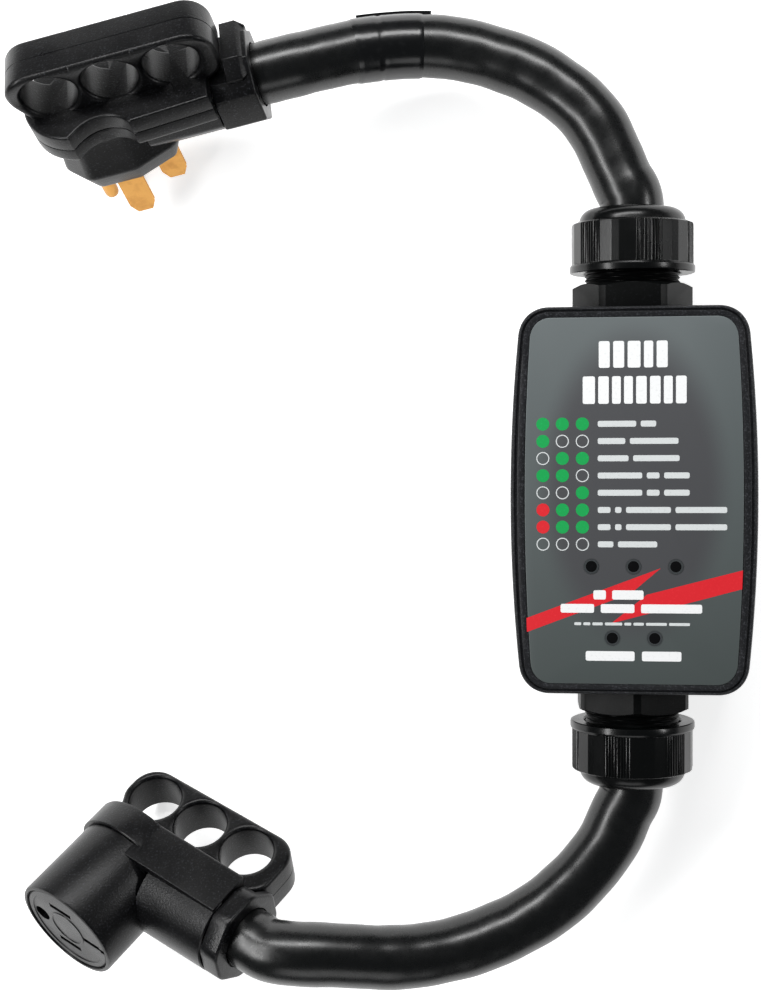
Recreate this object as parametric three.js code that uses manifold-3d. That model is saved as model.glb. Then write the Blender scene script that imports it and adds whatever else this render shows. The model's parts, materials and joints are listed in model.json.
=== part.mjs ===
// Portable surge protector for a caravan's supply lead: a box with a cable gland at each end,
// a short heavy cord out of each gland, a right-angle plug on one and a connector on the other.
// Millimetres, +Z up. The box lies on its back, and the origin is under its middle.
import * as THREE from "three";
import { mergeVertices } from "three/addons/utils/BufferGeometryUtils.js";
import Module from "manifold-3d";

const wasm = await Module();
wasm.setup();

// ---- driving dimensions ---------------------------------------------------------------------
const GAP = 0.3; // between touching pieces
const BOX = { width: 111.2, waist: 104, length: 176, sideEnd: 74.5, height: 84, wall: 3, seam: 68 };
const SHEET = { width: 98, waist: 93, length: 166, sideEnd: 74, thickness: 1.2 };
const GASKET = { inset: 1.2, width: 2.2, thickness: 1.2 };
const POST = { x: 43, y: 79, radius: 5.5, hole: 2.3, counterbore: 4.6, seat: 52 };
const SCREW = { head: 4.1, headHeight: 3, shank: 2, tip: 77 };
const BOARD = { width: 90, length: 132, thickness: 1.6, z: 20 };
const GLAND = { z: 44, hexCorner: 28.5, hexEnd: 12.2, thread: 22.3, threadEnd: 30, bore: 15.8 };
const NUT = { start: 17.4, flangeEnd: 21.6, bodyEnd: 41.4, end: 48, corner: 28.6, flange: 29.3 };
const NUT_BORE = { thread: 22.8, claw: 21.3, mouth: 16.2 };
const CORD_RADIUS = 14.75;
const BAND = { from: 0.667, to: 0.807, inner: 15.5, outer: 16.1 }; // from and to are shares of the cord
const GRIP = { pitch: 29.8, hole: 13.2, thickness: 22.6, top: 16, bottom: -15, right: 51.5, bevel: 52.5 };
const BLADE = { width: 12.4, thickness: 1.9, spread: 13.2, depth: 8, nip: 3 };
const PIN = { radius: 3.6, tip: -84 };
const PLUG = { farX: -19, radius: 29.2, neck: 25.2, capEnd: 42.7, collarEnd: 63.5, parting: -20.8, cordZ: -31 };
const PLUG_GRIP_LEFT = -49;
const HEAD = { radius: 27.6, x: -20, face: -78, sleeve: 22.5, capEnd: 45.7, end: 56, cap: -18.2, cordZ: -33 };
const HEAD_GRIP_LEFT = -46;
const LID = { radius: 29.6, low: -34, strip: -26 };
const PLUG_POSE = { at: [-241.9, 204.6, 79.5], turn: 12.7, pitch: 0.4, roll: -33.7 };
const HEAD_POSE = { at: [-211.4, -169.5, 34], turn: -21.3, pitch: 23, roll: -135.8 };

// ---- finishes -------------------------------------------------------------------------------
const finish = (color, roughness, metalness = 0) => ({ color, roughness, metalness });
const SHELL = finish(0x2a2b2d, 0.62);
const SHEET_GREY = finish(0x565d62, 0.45);
const RUBBER = finish(0x111112, 0.7);
const MOULDED = finish(0x1a1b1c, 0.55);
const NYLON = finish(0x0f1011, 0.38);
const JACKET = finish(0x0b0b0c, 0.3);
const BRASS = finish(0xd9a55c, 0.3, 1);
const STEEL = finish(0xa9adb0, 0.35, 1);
const COPPER = finish(0xb87050, 0.35, 1);
const BOARD_GREEN = finish(0x1f5a3a, 0.5);
const RELAY_CASE = finish(0x202428, 0.5);
const VARISTOR_BLUE = finish(0x24508a, 0.55);
const LENS = finish(0x0c0c0d, 0.12);

// ---- building blocks ------------------------------------------------------------------------
/** Turns a closed geometry into a solid that can be joined and cut. */
function solid(geometry) {
  const bare = geometry.clone();
  bare.deleteAttribute("normal");
  bare.deleteAttribute("uv");
  const places = bare.attributes.position.array;
  places.forEach((value, i) => { places[i] = Math.round(value * 1e4) / 1e4; });
  const merged = mergeVertices(bare, 1e-5);
  const triVerts = Uint32Array.from(merged.index.array);
  const vertProperties = Float32Array.from(merged.attributes.position.array);
  return new wasm.Manifold(new wasm.Mesh({ numProp: 3, vertProperties, triVerts }));
}

/** Turns a solid back into a geometry. */
function geometryOf(body) {
  const mesh = body.getMesh();
  const geometry = new THREE.BufferGeometry();
  geometry.setAttribute("position", new THREE.BufferAttribute(Float32Array.from(mesh.vertProperties), 3));
  geometry.setIndex(new THREE.BufferAttribute(Uint32Array.from(mesh.triVerts), 1));
  geometry.computeVertexNormals();
  return geometry;
}

/** A named mesh of a solid or a geometry, with its finish. */
function piece(name, shape, look) {
  const geometry = shape.isBufferGeometry ? shape : geometryOf(shape);
  const mesh = new THREE.Mesh(geometry, new THREE.MeshStandardMaterial(look));
  mesh.name = name;
  return mesh;
}

/** A box between two corners. */
function block(low, high) {
  const size = high.map((v, i) => v - low[i]);
  const geometry = new THREE.BoxGeometry(...size);
  geometry.translate(...high.map((v, i) => (v + low[i]) / 2));
  return solid(geometry);
}

/** A profile of [radius, z] points turned about Z. It starts and ends on the axis, or closes. */
function turned(profile, segments = 32) {
  const geometry = new THREE.LatheGeometry(profile.map(([r, z]) => new THREE.Vector2(r, z)), segments);
  geometry.rotateX(Math.PI / 2);
  return solid(geometry);
}

/** A ring about Z with a rectangular section. */
function ring(inner, outer, low, high, segments = 32) {
  return turned([[inner, low], [outer, low], [outer, high], [inner, high], [inner, low]], segments);
}

/** A round bar about Z. */
function rod(radius, low, high, segments = 32) {
  return turned([[0, low], [radius, low], [radius, high], [0, high]], segments);
}

/** An outline in X and Y, raised from one height to another. */
function raised(shape, low, high, curveSegments = 5) {
  const geometry = new THREE.ExtrudeGeometry(shape, { depth: high - low, bevelEnabled: false, curveSegments });
  geometry.translate(0, 0, low);
  return solid(geometry);
}

/** The box's outline: bowed sides, nearly straight ends and round corners. */
function boxOutline({ width, waist, length, sideEnd }, inset = 0) {
  const x = waist / 2 - inset;
  const bow = width - waist + x;
  const y = length / 2 - inset;
  const side = sideEnd - inset / 3;
  const endX = x - (y - side);
  const shape = new THREE.Shape();
  shape.moveTo(x, -side);
  shape.quadraticCurveTo(bow, 0, x, side);
  shape.bezierCurveTo(x - 0.6, side + (y - side) * 0.6, endX + (y - side) * 0.55, y - 0.3, endX, y);
  shape.lineTo(-endX, y);
  shape.bezierCurveTo(-endX - (y - side) * 0.55, y - 0.3, -x + 0.6, side + (y - side) * 0.6, -x, side);
  shape.quadraticCurveTo(-bow, 0, -x, -side);
  shape.bezierCurveTo(-x + 0.6, -side - (y - side) * 0.6, -endX - (y - side) * 0.55, -y + 0.3, -endX, -y);
  shape.lineTo(endX, -y);
  shape.bezierCurveTo(endX + (y - side) * 0.55, -y + 0.3, x - 0.6, -side - (y - side) * 0.6, x, -side);
  return shape;
}

/** Moves a solid. */
const moved = (body, x, y, z) => body.translate([x, y, z]);

/** Joins solids. */
const joined = (...bodies) => bodies.reduce((all, body) => all.add(body));

const corners = [[1, 1], [-1, 1], [-1, -1], [1, -1]];
const object = new THREE.Group();

// ---- housing --------------------------------------------------------------------------------
const lampSpots = [[-18.9, -29.5], [0, -29.5], [18.9, -29.5], [-9.5, -62], [9.5, -62]];
const LAMP = { radius: 3.4, from: 76 };
const COVER_TOP = 4.4; // from the front of the rim down to the inside of the cover
const glandHole = rod(20.9, -BOX.length, BOX.length, 32).rotate([90, 0, 0]).translate([0, 0, GLAND.z]);

function makeBackShell() {
  const { wall, seam } = BOX;
  let shell = raised(boxOutline(BOX), 0, seam).subtract(raised(boxOutline(BOX, wall), wall, seam + 1));
  for (const [sx, sy] of corners) {
    shell = shell.add(moved(rod(POST.radius, 1, seam, 20), sx * POST.x, sy * POST.y, 0));
    const foot = rod(3.5, 1, BOARD.z - GAP, 16).translate([sx * 38, sy * 58, 0]);
    shell = shell.add(foot);
  }
  for (const [sx, sy] of corners) {
    shell = shell.subtract(moved(rod(POST.hole, -1, seam + 1, 12), sx * POST.x, sy * POST.y, 0));
    shell = shell.subtract(moved(rod(POST.counterbore, -1, POST.seat, 16), sx * POST.x, sy * POST.y, 0));
  }
  return shell.subtract(glandHole);
}

function makeFrontCover() {
  const low = BOX.seam + GASKET.thickness + 2 * GAP;
  const top = BOX.height - 0.4;
  let cover = raised(boxOutline(BOX), low, top);
  cover = cover.subtract(raised(boxOutline(BOX, BOX.wall), low - 1, BOX.height - COVER_TOP));
  for (const [sx, sy] of corners) {
    cover = cover.add(moved(rod(POST.radius, low, top - 3, 20), sx * POST.x, sy * POST.y, 0));
  }
  for (const [sx, sy] of corners) {
    cover = cover.subtract(moved(rod(POST.hole, low - 1, SCREW.tip + 2, 12), sx * POST.x, sy * POST.y, 0));
  }
  const recess = raised(boxOutline(SHEET, -GAP), BOX.height - SHEET.thickness - GAP, BOX.height + 1);
  cover = cover.subtract(recess);
  for (const [x, y] of lampSpots) cover = cover.subtract(moved(rod(LAMP.radius + GAP, 70, 90, 20), x, y, 0));
  return cover;
}

function makeOverlay() {
  let sheet = raised(boxOutline(SHEET), BOX.height - SHEET.thickness, BOX.height);
  for (const [x, y] of lampSpots) sheet = sheet.subtract(moved(rod(LAMP.radius + GAP, 70, 90, 20), x, y, 0));
  return sheet;
}

function makeGasket() {
  const low = BOX.seam + GAP;
  const high = low + GASKET.thickness;
  const outer = raised(boxOutline(BOX, GASKET.inset), low, high);
  const inner = raised(boxOutline(BOX, GASKET.inset + GASKET.width), low - 1, high + 1);
  let gasket = outer.subtract(inner);
  for (const [sx, sy] of corners) {
    gasket = gasket.subtract(moved(rod(POST.hole + 0.4, low - 1, high + 1, 12), sx * POST.x, sy * POST.y, 0));
  }
  return gasket;
}

function makeCoverScrew() {
  const seat = POST.seat - GAP;
  const head = rod(SCREW.head, seat - SCREW.headHeight, seat, 16);
  const shank = rod(SCREW.shank, seat - 1, SCREW.tip, 10);
  const cross = joined(block([-2.4, -0.5, seat - 4], [2.4, 0.5, seat - 1.6]),
    block([-0.5, -2.4, seat - 4], [0.5, 2.4, seat - 1.6]));
  return head.add(shank).subtract(cross);
}

object.add(piece("back_shell", makeBackShell(), SHELL));
object.add(piece("front_cover", makeFrontCover(), SHELL));
object.add(piece("overlay_sheet", makeOverlay(), SHEET_GREY));
object.add(piece("cover_gasket", makeGasket(), RUBBER));
corners.forEach(([sx, sy], i) => {
  const screw = piece(`cover_screw_${i + 1}`, makeCoverScrew(), STEEL);
  screw.position.set(sx * POST.x, sy * POST.y, 0);
  object.add(screw);
});
lampSpots.forEach(([x, y], i) => {
  const stem = rod(LAMP.radius, LAMP.from, BOX.height - 0.5, 20);
  const foot = rod(LAMP.radius + 1.6, LAMP.from, BOX.height - COVER_TOP - GAP, 16);
  const lens = piece(`indicator_lens_${i + 1}`, stem.add(foot), LENS);
  lens.position.set(x, y, 0);
  object.add(lens);
});
const displayBoard = block([-31, -72, 73.6], [31, -18, LAMP.from - GAP]);
object.add(piece("display_board", displayBoard, BOARD_GREEN));

// ---- what the box holds ---------------------------------------------------------------------
const boardTop = BOARD.z + BOARD.thickness + GAP;
let board = block([-BOARD.width / 2, -BOARD.length / 2, BOARD.z],
  [BOARD.width / 2, BOARD.length / 2, BOARD.z + BOARD.thickness]);
for (const [sx, sy] of corners) board = board.subtract(moved(rod(1.7, 0, 60, 12), sx * 38, sy * 58, 0));
object.add(piece("circuit_board", board, BOARD_GREEN));

function makeRelay() {
  const coil = block([-12, -15, boardTop], [12, 15, boardTop + 16]);
  const tabs = joined(...[-7, 7].map((x) => block([x - 3, -12, boardTop + 15], [x + 3, -11, boardTop + 22])));
  return coil.add(tabs);
}
[-1, 1].forEach((side, i) => {
  const relay = piece(`relay_${i + 1}`, makeRelay(), RELAY_CASE);
  relay.position.set(side * 28, -4, 0);
  object.add(relay);
});
[-1, 1].forEach((side, i) => {
  const disc = rod(9, -2.5, 2.5, 24).rotate([90, 0, 0]).translate([side * 12, 34, boardTop + 10.5]);
  const legs = joined(...[-4, 4].map((x) => block([side * 12 + x - 0.5, 33.5, boardTop],
    [side * 12 + x + 0.5, 34.5, boardTop + 6])));
  object.add(piece(`varistor_${i + 1}`, disc.add(legs), VARISTOR_BLUE));
});
object.add(piece("power_supply", block([-11, -26, boardTop], [11, -8, boardTop + 14]), RELAY_CASE));
const radioShield = joined(block([-9, 8, boardTop], [9, 20, boardTop + 2.6]),
  block([-7, 19, boardTop], [7, 24, boardTop + 1]));
object.add(piece("radio_module", radioShield, STEEL));
const sensorCore = ring(6.5, 10.5, -4, 4, 20).rotate([90, 0, 0]).translate([33, 30, boardTop + 11]);
object.add(piece("current_sensor", sensorCore, RELAY_CASE));

const TERMINAL = { x: 9, y: 56, z: boardTop + 7 };
/** A row of two screw clamps for the switched lines, open towards its cord. */
function makeTerminals(end) {
  let body = block([-18, 0, boardTop], [18, 12, boardTop + 15]);
  for (const x of [-TERMINAL.x, TERMINAL.x]) {
    body = body.subtract(moved(rod(3.7, -1, 9, 12).rotate([-90, 0, 0]), x, 0, TERMINAL.z));
    body = body.subtract(moved(rod(2.4, boardTop + 9, boardTop + 16, 12), x, 6, 0));
  }
  return body.rotate([0, 0, end > 0 ? 180 : 0]).translate([0, end * TERMINAL.y, 0]);
}
object.add(piece("input_terminals", makeTerminals(1), RELAY_CASE));
object.add(piece("output_terminals", makeTerminals(-1), RELAY_CASE));

/** A tube of round section along a curve. */
function tube(curve, radius, sides, steps, bore = 0) {
  const section = new THREE.Shape();
  section.absarc(0, 0, radius, 0, 2 * Math.PI, false);
  if (bore) section.holes.push(new THREE.Path().absarc(0, 0, bore, 0, 2 * Math.PI, true));
  return new THREE.ExtrudeGeometry(section, { steps, extrudePath: curve, curveSegments: sides / 2 });
}

/** The smooth curve through some points. */
const route = (points) => new THREE.CatmullRomCurve3(points.map((p) => new THREE.Vector3(...p)));

const WIRE = { radius: 2.8, spread: 5.6, start: 106 };
for (const [end, name] of [[1, "line_in"], [-1, "line_out"]]) {
  [-1, 1].forEach((side, i) => {
    const points = [
      [side * WIRE.spread, end * WIRE.start, GLAND.z - 5],
      [side * WIRE.spread, end * 84, GLAND.z - 5],
      [side * (WIRE.spread + 0.6), end * 73, GLAND.z - 6],
      [side * TERMINAL.x, end * (TERMINAL.y + 4), TERMINAL.z],
      [side * TERMINAL.x, end * (TERMINAL.y - 7), TERMINAL.z],
    ];
    object.add(piece(`${name}_${i + 1}`, tube(route(points), WIRE.radius, 8, 8), COPPER));
  });
}
for (const [side, name] of [[-1, "neutral_conductor"], [1, "ground_conductor"]]) {
  const points = [[side * WIRE.spread, WIRE.start, GLAND.z + 5], [side * WIRE.spread, 84, GLAND.z + 6],
    [side * 9, 0, GLAND.z + 14], [side * WIRE.spread, -84, GLAND.z + 6],
    [side * WIRE.spread, -WIRE.start, GLAND.z + 5]];
  object.add(piece(name, tube(route(points), WIRE.radius, 8, 12), COPPER));
}

// ---- cable glands, each about its own axis, measured out from the box's end -----------------
const SEAL = { inner: 15.1, outer: 17.5, low: 28.3, high: 41 };
const CLAW = { inner: 17.8, outer: 20.9, low: 30.6, high: 41.7, slots: 8 };

/** A bar with six flats, two of them level. */
const hexBar = (corner, low, high) => rod(corner, low, high, 6).rotate([0, 0, 30]);

function makeGlandBody() {
  const groove = ring(21.4, 24.6, -1, 1.9, 28);
  const stub = rod(GLAND.thread, GLAND.hexEnd - 1, GLAND.threadEnd, 32);
  const tail = rod(20.4, -16, 1, 32);
  const outside = joined(hexBar(GLAND.hexCorner, GAP, GLAND.hexEnd), stub, tail);
  const seat = rod(SEAL.outer + GAP, SEAL.low - GAP, GLAND.threadEnd + 1, 28);
  return outside.subtract(groove).subtract(rod(GLAND.bore, -20, 60, 28)).subtract(seat);
}

function makeClaw() {
  let claw = ring(CLAW.inner, CLAW.outer, CLAW.low, CLAW.high, 32);
  for (let i = 0; i < CLAW.slots; i += 1) {
    const slot = block([CLAW.inner - 2, -0.9, CLAW.low + 3], [CLAW.outer + 2, 0.9, CLAW.high + 1]);
    claw = claw.subtract(slot.rotate([0, 0, (i + 0.5) * (360 / CLAW.slots)]));
  }
  return claw;
}

function makeDomeNut() {
  let nut = turned([
    [NUT_BORE.thread, NUT.start], [NUT.flange, NUT.start], [NUT.flange, NUT.flangeEnd],
    [NUT.corner - 1.1, NUT.flangeEnd + 0.4], [NUT.corner - 1.1, NUT.bodyEnd - 1],
    [24.6, NUT.bodyEnd + 0.4], [23.4, NUT.bodyEnd + 3.6], [20.4, NUT.end - 0.8], [19, NUT.end],
    [NUT_BORE.mouth, NUT.end], [NUT_BORE.mouth, 43.4], [NUT_BORE.claw, 42], [NUT_BORE.claw, 31],
    [NUT_BORE.thread, 30.3], [NUT_BORE.thread, NUT.start],
  ], 24);
  for (let i = 0; i < 6; i += 1) {
    for (const rib of [-1, 1]) {
      const bar = block([NUT.corner - 3, -1.8, NUT.flangeEnd], [NUT.corner, 1.8, NUT.bodyEnd - 1.4]);
      nut = nut.add(bar.rotate([0, 0, i * 60 + rib * 5]));
    }
  }
  return nut;
}

for (const [end, name] of [[1, "upper"], [-1, "lower"]]) {
  const parts = [
    [`${name}_gland_body`, makeGlandBody(), NYLON],
    [`${name}_gland_locknut`, hexBar(27, -9.3, -3.3).subtract(rod(20.8, -12, 0, 28)), NYLON],
    [`${name}_gland_washer`, ring(21.7, 24.3, GAP, 1.6, 24), RUBBER],
    [`${name}_gland_seal`, ring(SEAL.inner, SEAL.outer, SEAL.low, SEAL.high, 24), RUBBER],
    [`${name}_gland_claw`, makeClaw(), NYLON],
    [`${name}_dome_nut`, makeDomeNut(), NYLON],
  ];
  for (const [node, body, look] of parts) {
    const mesh = piece(node, body, look);
    mesh.rotation.x = (-end * Math.PI) / 2;
    mesh.position.set(0, (end * BOX.length) / 2, GLAND.z);
    object.add(mesh);
  }
}

// ---- cords ----------------------------------------------------------------------------------
const upperRoute = [
  [0, 107.3, 44], [0, 119, 44], [0, 131, 44], [-0.6, 141, 44], [-4.7, 149.5, 43], [-9.6, 161, 41.6],
  [-16, 174.6, 40.4], [-25, 186, 39.5], [-36.2, 195.1, 38.8], [-48.5, 202.8, 38.2], [-61.8, 208.3, 37.8],
  [-75.5, 212.7, 37.5], [-89.5, 215.3, 37.9], [-103.6, 215.7, 40], [-117.7, 214.7, 42.8], [-131.7, 212.6, 46.2],
  [-145.5, 209.2, 50.2], [-156.5, 206.3, 53], [-167.7, 203.7, 54.1], [-177.5, 201.5, 54.1],
];
const lowerRoute = [
  [0, -107.3, 44], [0, -119, 44], [0, -131, 44], [-0.6, -141, 44], [-5, -150, 44.2], [-10.9, -163, 45.4],
  [-19.4, -175, 46.9], [-29.2, -185.6, 48.7], [-40, -194.6, 51], [-51.8, -201.6, 54], [-64.2, -207, 57.6],
  [-77.2, -211.3, 61.6], [-90.2, -213.8, 66], [-103.2, -215, 70.4], [-116.4, -214.7, 74.8],
  [-129.6, -213.2, 79], [-143, -211.9, 82.6], [-156, -211.3, 84.4], [-168.6, -210.5, 82.6],
  [-176.3, -207.8, 79.5], [-181.5, -205.8, 77.1],
];
const upperCord = route(upperRoute);
object.add(piece("upper_cord", tube(upperCord, CORD_RADIUS, 12, 30), JACKET));
object.add(piece("lower_cord", tube(route(lowerRoute), CORD_RADIUS, 12, 30), JACKET));
const bandShares = [0, 0.25, 0.5, 0.75, 1].map((t) => BAND.from + t * (BAND.to - BAND.from));
const bandPoints = bandShares.map((share) => upperCord.getPointAt(share));
const bandCurve = new THREE.CatmullRomCurve3(bandPoints);
object.add(piece("cord_band", tube(bandCurve, BAND.outer, 12, 6, BAND.inner), JACKET));

// ---- what the plug and the connector share --------------------------------------------------
const degrees = Math.PI / 180;

/** A group turned and placed as its end of the cord lies: turn, then pitch, then roll. */
function placed({ at, turn, pitch, roll }) {
  const group = new THREE.Group();
  group.rotation.set(roll * degrees, -pitch * degrees, turn * degrees, "ZYX");
  group.position.set(...at);
  return group;
}

/** A bar along X of an outline in Y and Z. */
function along(points, low, high) {
  const shape = new THREE.Shape(points.map(([y, z]) => new THREE.Vector2(y, z)));
  const geometry = new THREE.ExtrudeGeometry(shape, { depth: high - low, bevelEnabled: false });
  geometry.applyMatrix4(new THREE.Matrix4().makeBasis(
    new THREE.Vector3(0, 1, 0), new THREE.Vector3(0, 0, 1), new THREE.Vector3(1, 0, 0)));
  geometry.translate(low, 0, 0);
  return solid(geometry);
}

/** An even polygon about a centre, with a corner radius and a first corner's angle. */
function ringOfPoints(count, radius, y, z, first = 0) {
  return Array.from({ length: count }, (_, i) => {
    const angle = first + (i * 2 * Math.PI) / count;
    return [y + radius * Math.cos(angle), z + radius * Math.sin(angle)];
  });
}

/** The upright grip with its three finger holes, in X and Z, as thick as a finger is long. */
function makeGrip(bottom, left) {
  const { right, top, thickness, hole, pitch } = GRIP;
  const shape = new THREE.Shape();
  shape.moveTo(left + 8, bottom);
  shape.lineTo(left + 0.5, bottom + 14);
  shape.quadraticCurveTo(left - 2, top - 5, left + 10, top);
  shape.lineTo(right - 13, top);
  shape.quadraticCurveTo(right - 1, top - 0.5, right, top - 13);
  shape.quadraticCurveTo(right, bottom + 3, right - 7, bottom);
  for (const x of [-pitch, 0, pitch]) shape.holes.push(new THREE.Path().absarc(x, 0, hole, 0, 2 * Math.PI));
  const settings = { depth: thickness, bevelEnabled: false, curveSegments: 9 };
  const geometry = new THREE.ExtrudeGeometry(shape, settings);
  geometry.rotateX(Math.PI / 2);
  geometry.translate(0, thickness / 2, 0);
  return solid(geometry);
}

/** The flat outline of a cap: a round far end that narrows towards the cord. */
function capOutline(endX, radius, halfEnd, endRight) {
  const shape = new THREE.Shape();
  shape.moveTo(endRight, halfEnd);
  shape.lineTo(endX, radius);
  shape.absarc(endX, 0, radius, Math.PI / 2, (3 * Math.PI) / 2, false);
  shape.lineTo(endRight, -halfEnd);
  return shape;
}

// ---- plug -----------------------------------------------------------------------------------
const FACE = { ground: -29.5, line: -13.4, neutral: 5.5, z: -60, lineTip: -85.6, neutralTip: -81.5 };
const plug = placed(PLUG_POSE);

function makePlugHandle() {
  const outline = capOutline(PLUG.farX, PLUG.radius, PLUG.neck, PLUG.capEnd);
  let handle = raised(outline, PLUG.parting, GRIP.bottom).add(makeGrip(GRIP.bottom - 1, PLUG_GRIP_LEFT));
  const scallop = rod(17, PLUG.parting - 1, GRIP.bottom + 0.5, 36);
  for (const side of [-1, 1]) handle = handle.subtract(moved(scallop, -10.7, side * 36.8, 0));
  return handle;
}

function makePlugBase() {
  const top = PLUG.parting - GAP;
  const flange = raised(capOutline(PLUG.farX, PLUG.radius, PLUG.neck, PLUG.capEnd), top - 8, top);
  const faceCorners = [[-37, -8], [-27, -18], [-6, -18], [13, -9], [13, 9], [-6, 18], [-27, 18], [-37, 8]];
  const face = new THREE.Shape(faceCorners.map(([x, y]) => new THREE.Vector2(x, y)));
  const sleeveCorners = [[-22, top - 1], [-22, -37], [-9, -51], [9, -51], [22, -37], [22, top - 1]];
  let base = joined(flange, raised(face, FACE.z, top - 1), along(sleeveCorners, 6, PLUG.capEnd));
  const [halfX, halfY] = [BLADE.width / 2 + GAP, BLADE.thickness / 2 + GAP];
  for (const [x, y] of [[FACE.line, -BLADE.spread], [FACE.line, BLADE.spread], [FACE.neutral, 0]]) {
    const slot = block([x - halfX, y - halfY, FACE.z - 1], [x + halfX, y + halfY, FACE.z + BLADE.depth]);
    base = base.subtract(slot);
  }
  return base.subtract(moved(rod(PIN.radius + GAP, FACE.z - 1, FACE.z + BLADE.depth, 20), FACE.ground, 0, 0));
}

/** A flat blade whose end is nipped in at its two corners. */
function makeBlade(tip) {
  const half = BLADE.width / 2;
  const root = FACE.z + BLADE.depth - 0.5;
  const outline = [[-half, root], [-half, tip + 4], [-half + BLADE.nip, tip],
    [half - BLADE.nip, tip], [half, tip + 4], [half, root]];
  const shape = new THREE.Shape(outline.map(([x, z]) => new THREE.Vector2(x, z)));
  const geometry = new THREE.ExtrudeGeometry(shape, { depth: BLADE.thickness, bevelEnabled: false });
  geometry.rotateX(Math.PI / 2);
  geometry.translate(0, BLADE.thickness / 2, 0);
  return solid(geometry);
}

const collarOutline = ringOfPoints(8, 23, 0, PLUG.cordZ, Math.PI / 8);
function makePlugCollar() {
  const from = PLUG.capEnd + GAP;
  const flat = block([from - 1, -40, GRIP.bottom - 1 - GAP], [GRIP.bevel, 40, 40]);
  const socket = along(ringOfPoints(24, CORD_RADIUS + 2 * GAP, 0, PLUG.cordZ), PLUG.collarEnd - 1.8, 90);
  return along(collarOutline, from, PLUG.collarEnd).subtract(flat).subtract(socket);
}

const pinRoot = FACE.z + BLADE.depth - 0.5;
const groundPin = turned([[0, PIN.tip], [PIN.radius - 1.2, PIN.tip + 0.6], [PIN.radius, PIN.tip + 3],
  [PIN.radius, pinRoot], [0, pinRoot]], 20);
plug.add(piece("plug_handle", makePlugHandle(), MOULDED));
plug.add(piece("plug_base", makePlugBase(), MOULDED));
plug.add(piece("plug_collar", makePlugCollar(), MOULDED));
[["line_blade_1", FACE.line, BLADE.spread, FACE.lineTip],
  ["line_blade_2", FACE.line, -BLADE.spread, FACE.lineTip],
  ["neutral_blade", FACE.neutral, 0, FACE.neutralTip]].forEach(([name, x, y, tip]) => {
  const blade = piece(name, makeBlade(tip), BRASS);
  blade.position.set(x, y, 0);
  plug.add(blade);
});
const pin = piece("ground_pin", groundPin, BRASS);
pin.position.set(FACE.ground, 0, 0);
plug.add(pin);
object.add(plug);

// ---- connector ------------------------------------------------------------------------------
const SOCKET = { ground: -36.5, line: -21.4, neutral: -2.6, radius: 25, back: -55, pocket: -52, mouth: -71.5 };
const connector = placed(HEAD_POSE);

function makeConnectorHandle() {
  const lid = moved(rod(LID.radius, LID.low, HEAD.cap, 40), HEAD.x, 0, 0);
  const strip = raised(capOutline(HEAD.x, 25, 21, HEAD.capEnd), LID.strip, HEAD.cap);
  return joined(lid, strip, makeGrip(HEAD.cap - 1, HEAD_GRIP_LEFT));
}

function makeConnectorBody() {
  const barrel = moved(rod(HEAD.radius, HEAD.face, LID.low - GAP, 44), HEAD.x, 0, 0);
  let sleeve = along(ringOfPoints(28, HEAD.sleeve, 0, HEAD.cordZ - 0.5), HEAD.x, HEAD.capEnd);
  sleeve = sleeve.subtract(block([-80, -50, LID.strip - GAP], [80, 50, 20]));
  sleeve = sleeve.subtract(moved(rod(LID.radius + GAP, LID.low - GAP, 0, 40), HEAD.x, 0, 0));
  const pocket = moved(rod(SOCKET.radius + GAP, HEAD.face - 1, SOCKET.pocket, 36), HEAD.x, 0, 0);
  return barrel.add(sleeve).subtract(pocket);
}

function makeSocketFace() {
  let face = moved(rod(SOCKET.radius, HEAD.face + 0.8, SOCKET.back, 36), HEAD.x, 0, 0);
  for (const [x, y] of [[SOCKET.line, BLADE.spread], [SOCKET.line, -BLADE.spread], [SOCKET.neutral, 0]]) {
    face = face.subtract(block([x - 6.9, y - 1.4, HEAD.face - 1], [x + 6.9, y + 1.4, SOCKET.mouth + 1]));
    face = face.subtract(block([x - 7.2, y - 3.4, SOCKET.mouth], [x + 7.2, y + 3.4, SOCKET.back + 1]));
  }
  face = face.subtract(moved(rod(4.4, HEAD.face - 1, SOCKET.mouth + 1, 20), SOCKET.ground, 0, 0));
  return face.subtract(moved(rod(5.9, SOCKET.mouth, SOCKET.back + 1, 20), SOCKET.ground, 0, 0));
}

/** A clip folded to a U that grips a blade between its two leaves. */
function makeClip() {
  const outer = block([-6, -2.9, SOCKET.mouth + GAP], [6, 2.9, SOCKET.back - 1]);
  return outer.subtract(block([-7, -1.3, SOCKET.mouth - 1], [7, 1.3, SOCKET.back - 2.6]));
}

function makeConnectorCollar() {
  const outline = ringOfPoints(8, 24, 0, HEAD.cordZ, Math.PI / 8);
  const socket = along(ringOfPoints(24, CORD_RADIUS + 2 * GAP, 0, HEAD.cordZ), HEAD.end - 1.8, 90);
  const flat = block([HEAD.capEnd - 1, -40, HEAD.cap - 1 - GAP], [GRIP.bevel, 40, 40]);
  return along(outline, HEAD.capEnd + GAP, HEAD.end).subtract(flat).subtract(socket);
}

connector.add(piece("connector_handle", makeConnectorHandle(), MOULDED));
connector.add(piece("connector_body", makeConnectorBody(), MOULDED));
connector.add(piece("socket_face", makeSocketFace(), MOULDED));
connector.add(piece("connector_collar", makeConnectorCollar(), MOULDED));
[["line_contact_1", SOCKET.line, BLADE.spread], ["line_contact_2", SOCKET.line, -BLADE.spread],
  ["neutral_contact", SOCKET.neutral, 0]].forEach(([name, x, y]) => {
  const clip = piece(name, makeClip(), BRASS);
  clip.position.set(x, y, 0);
  connector.add(clip);
});
const groundContact = piece("ground_contact", ring(4, 5.5, SOCKET.mouth + GAP, SOCKET.back - 1, 20), BRASS);
groundContact.position.set(SOCKET.ground, 0, 0);
connector.add(groundContact);
object.add(connector);

export default object;
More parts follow.
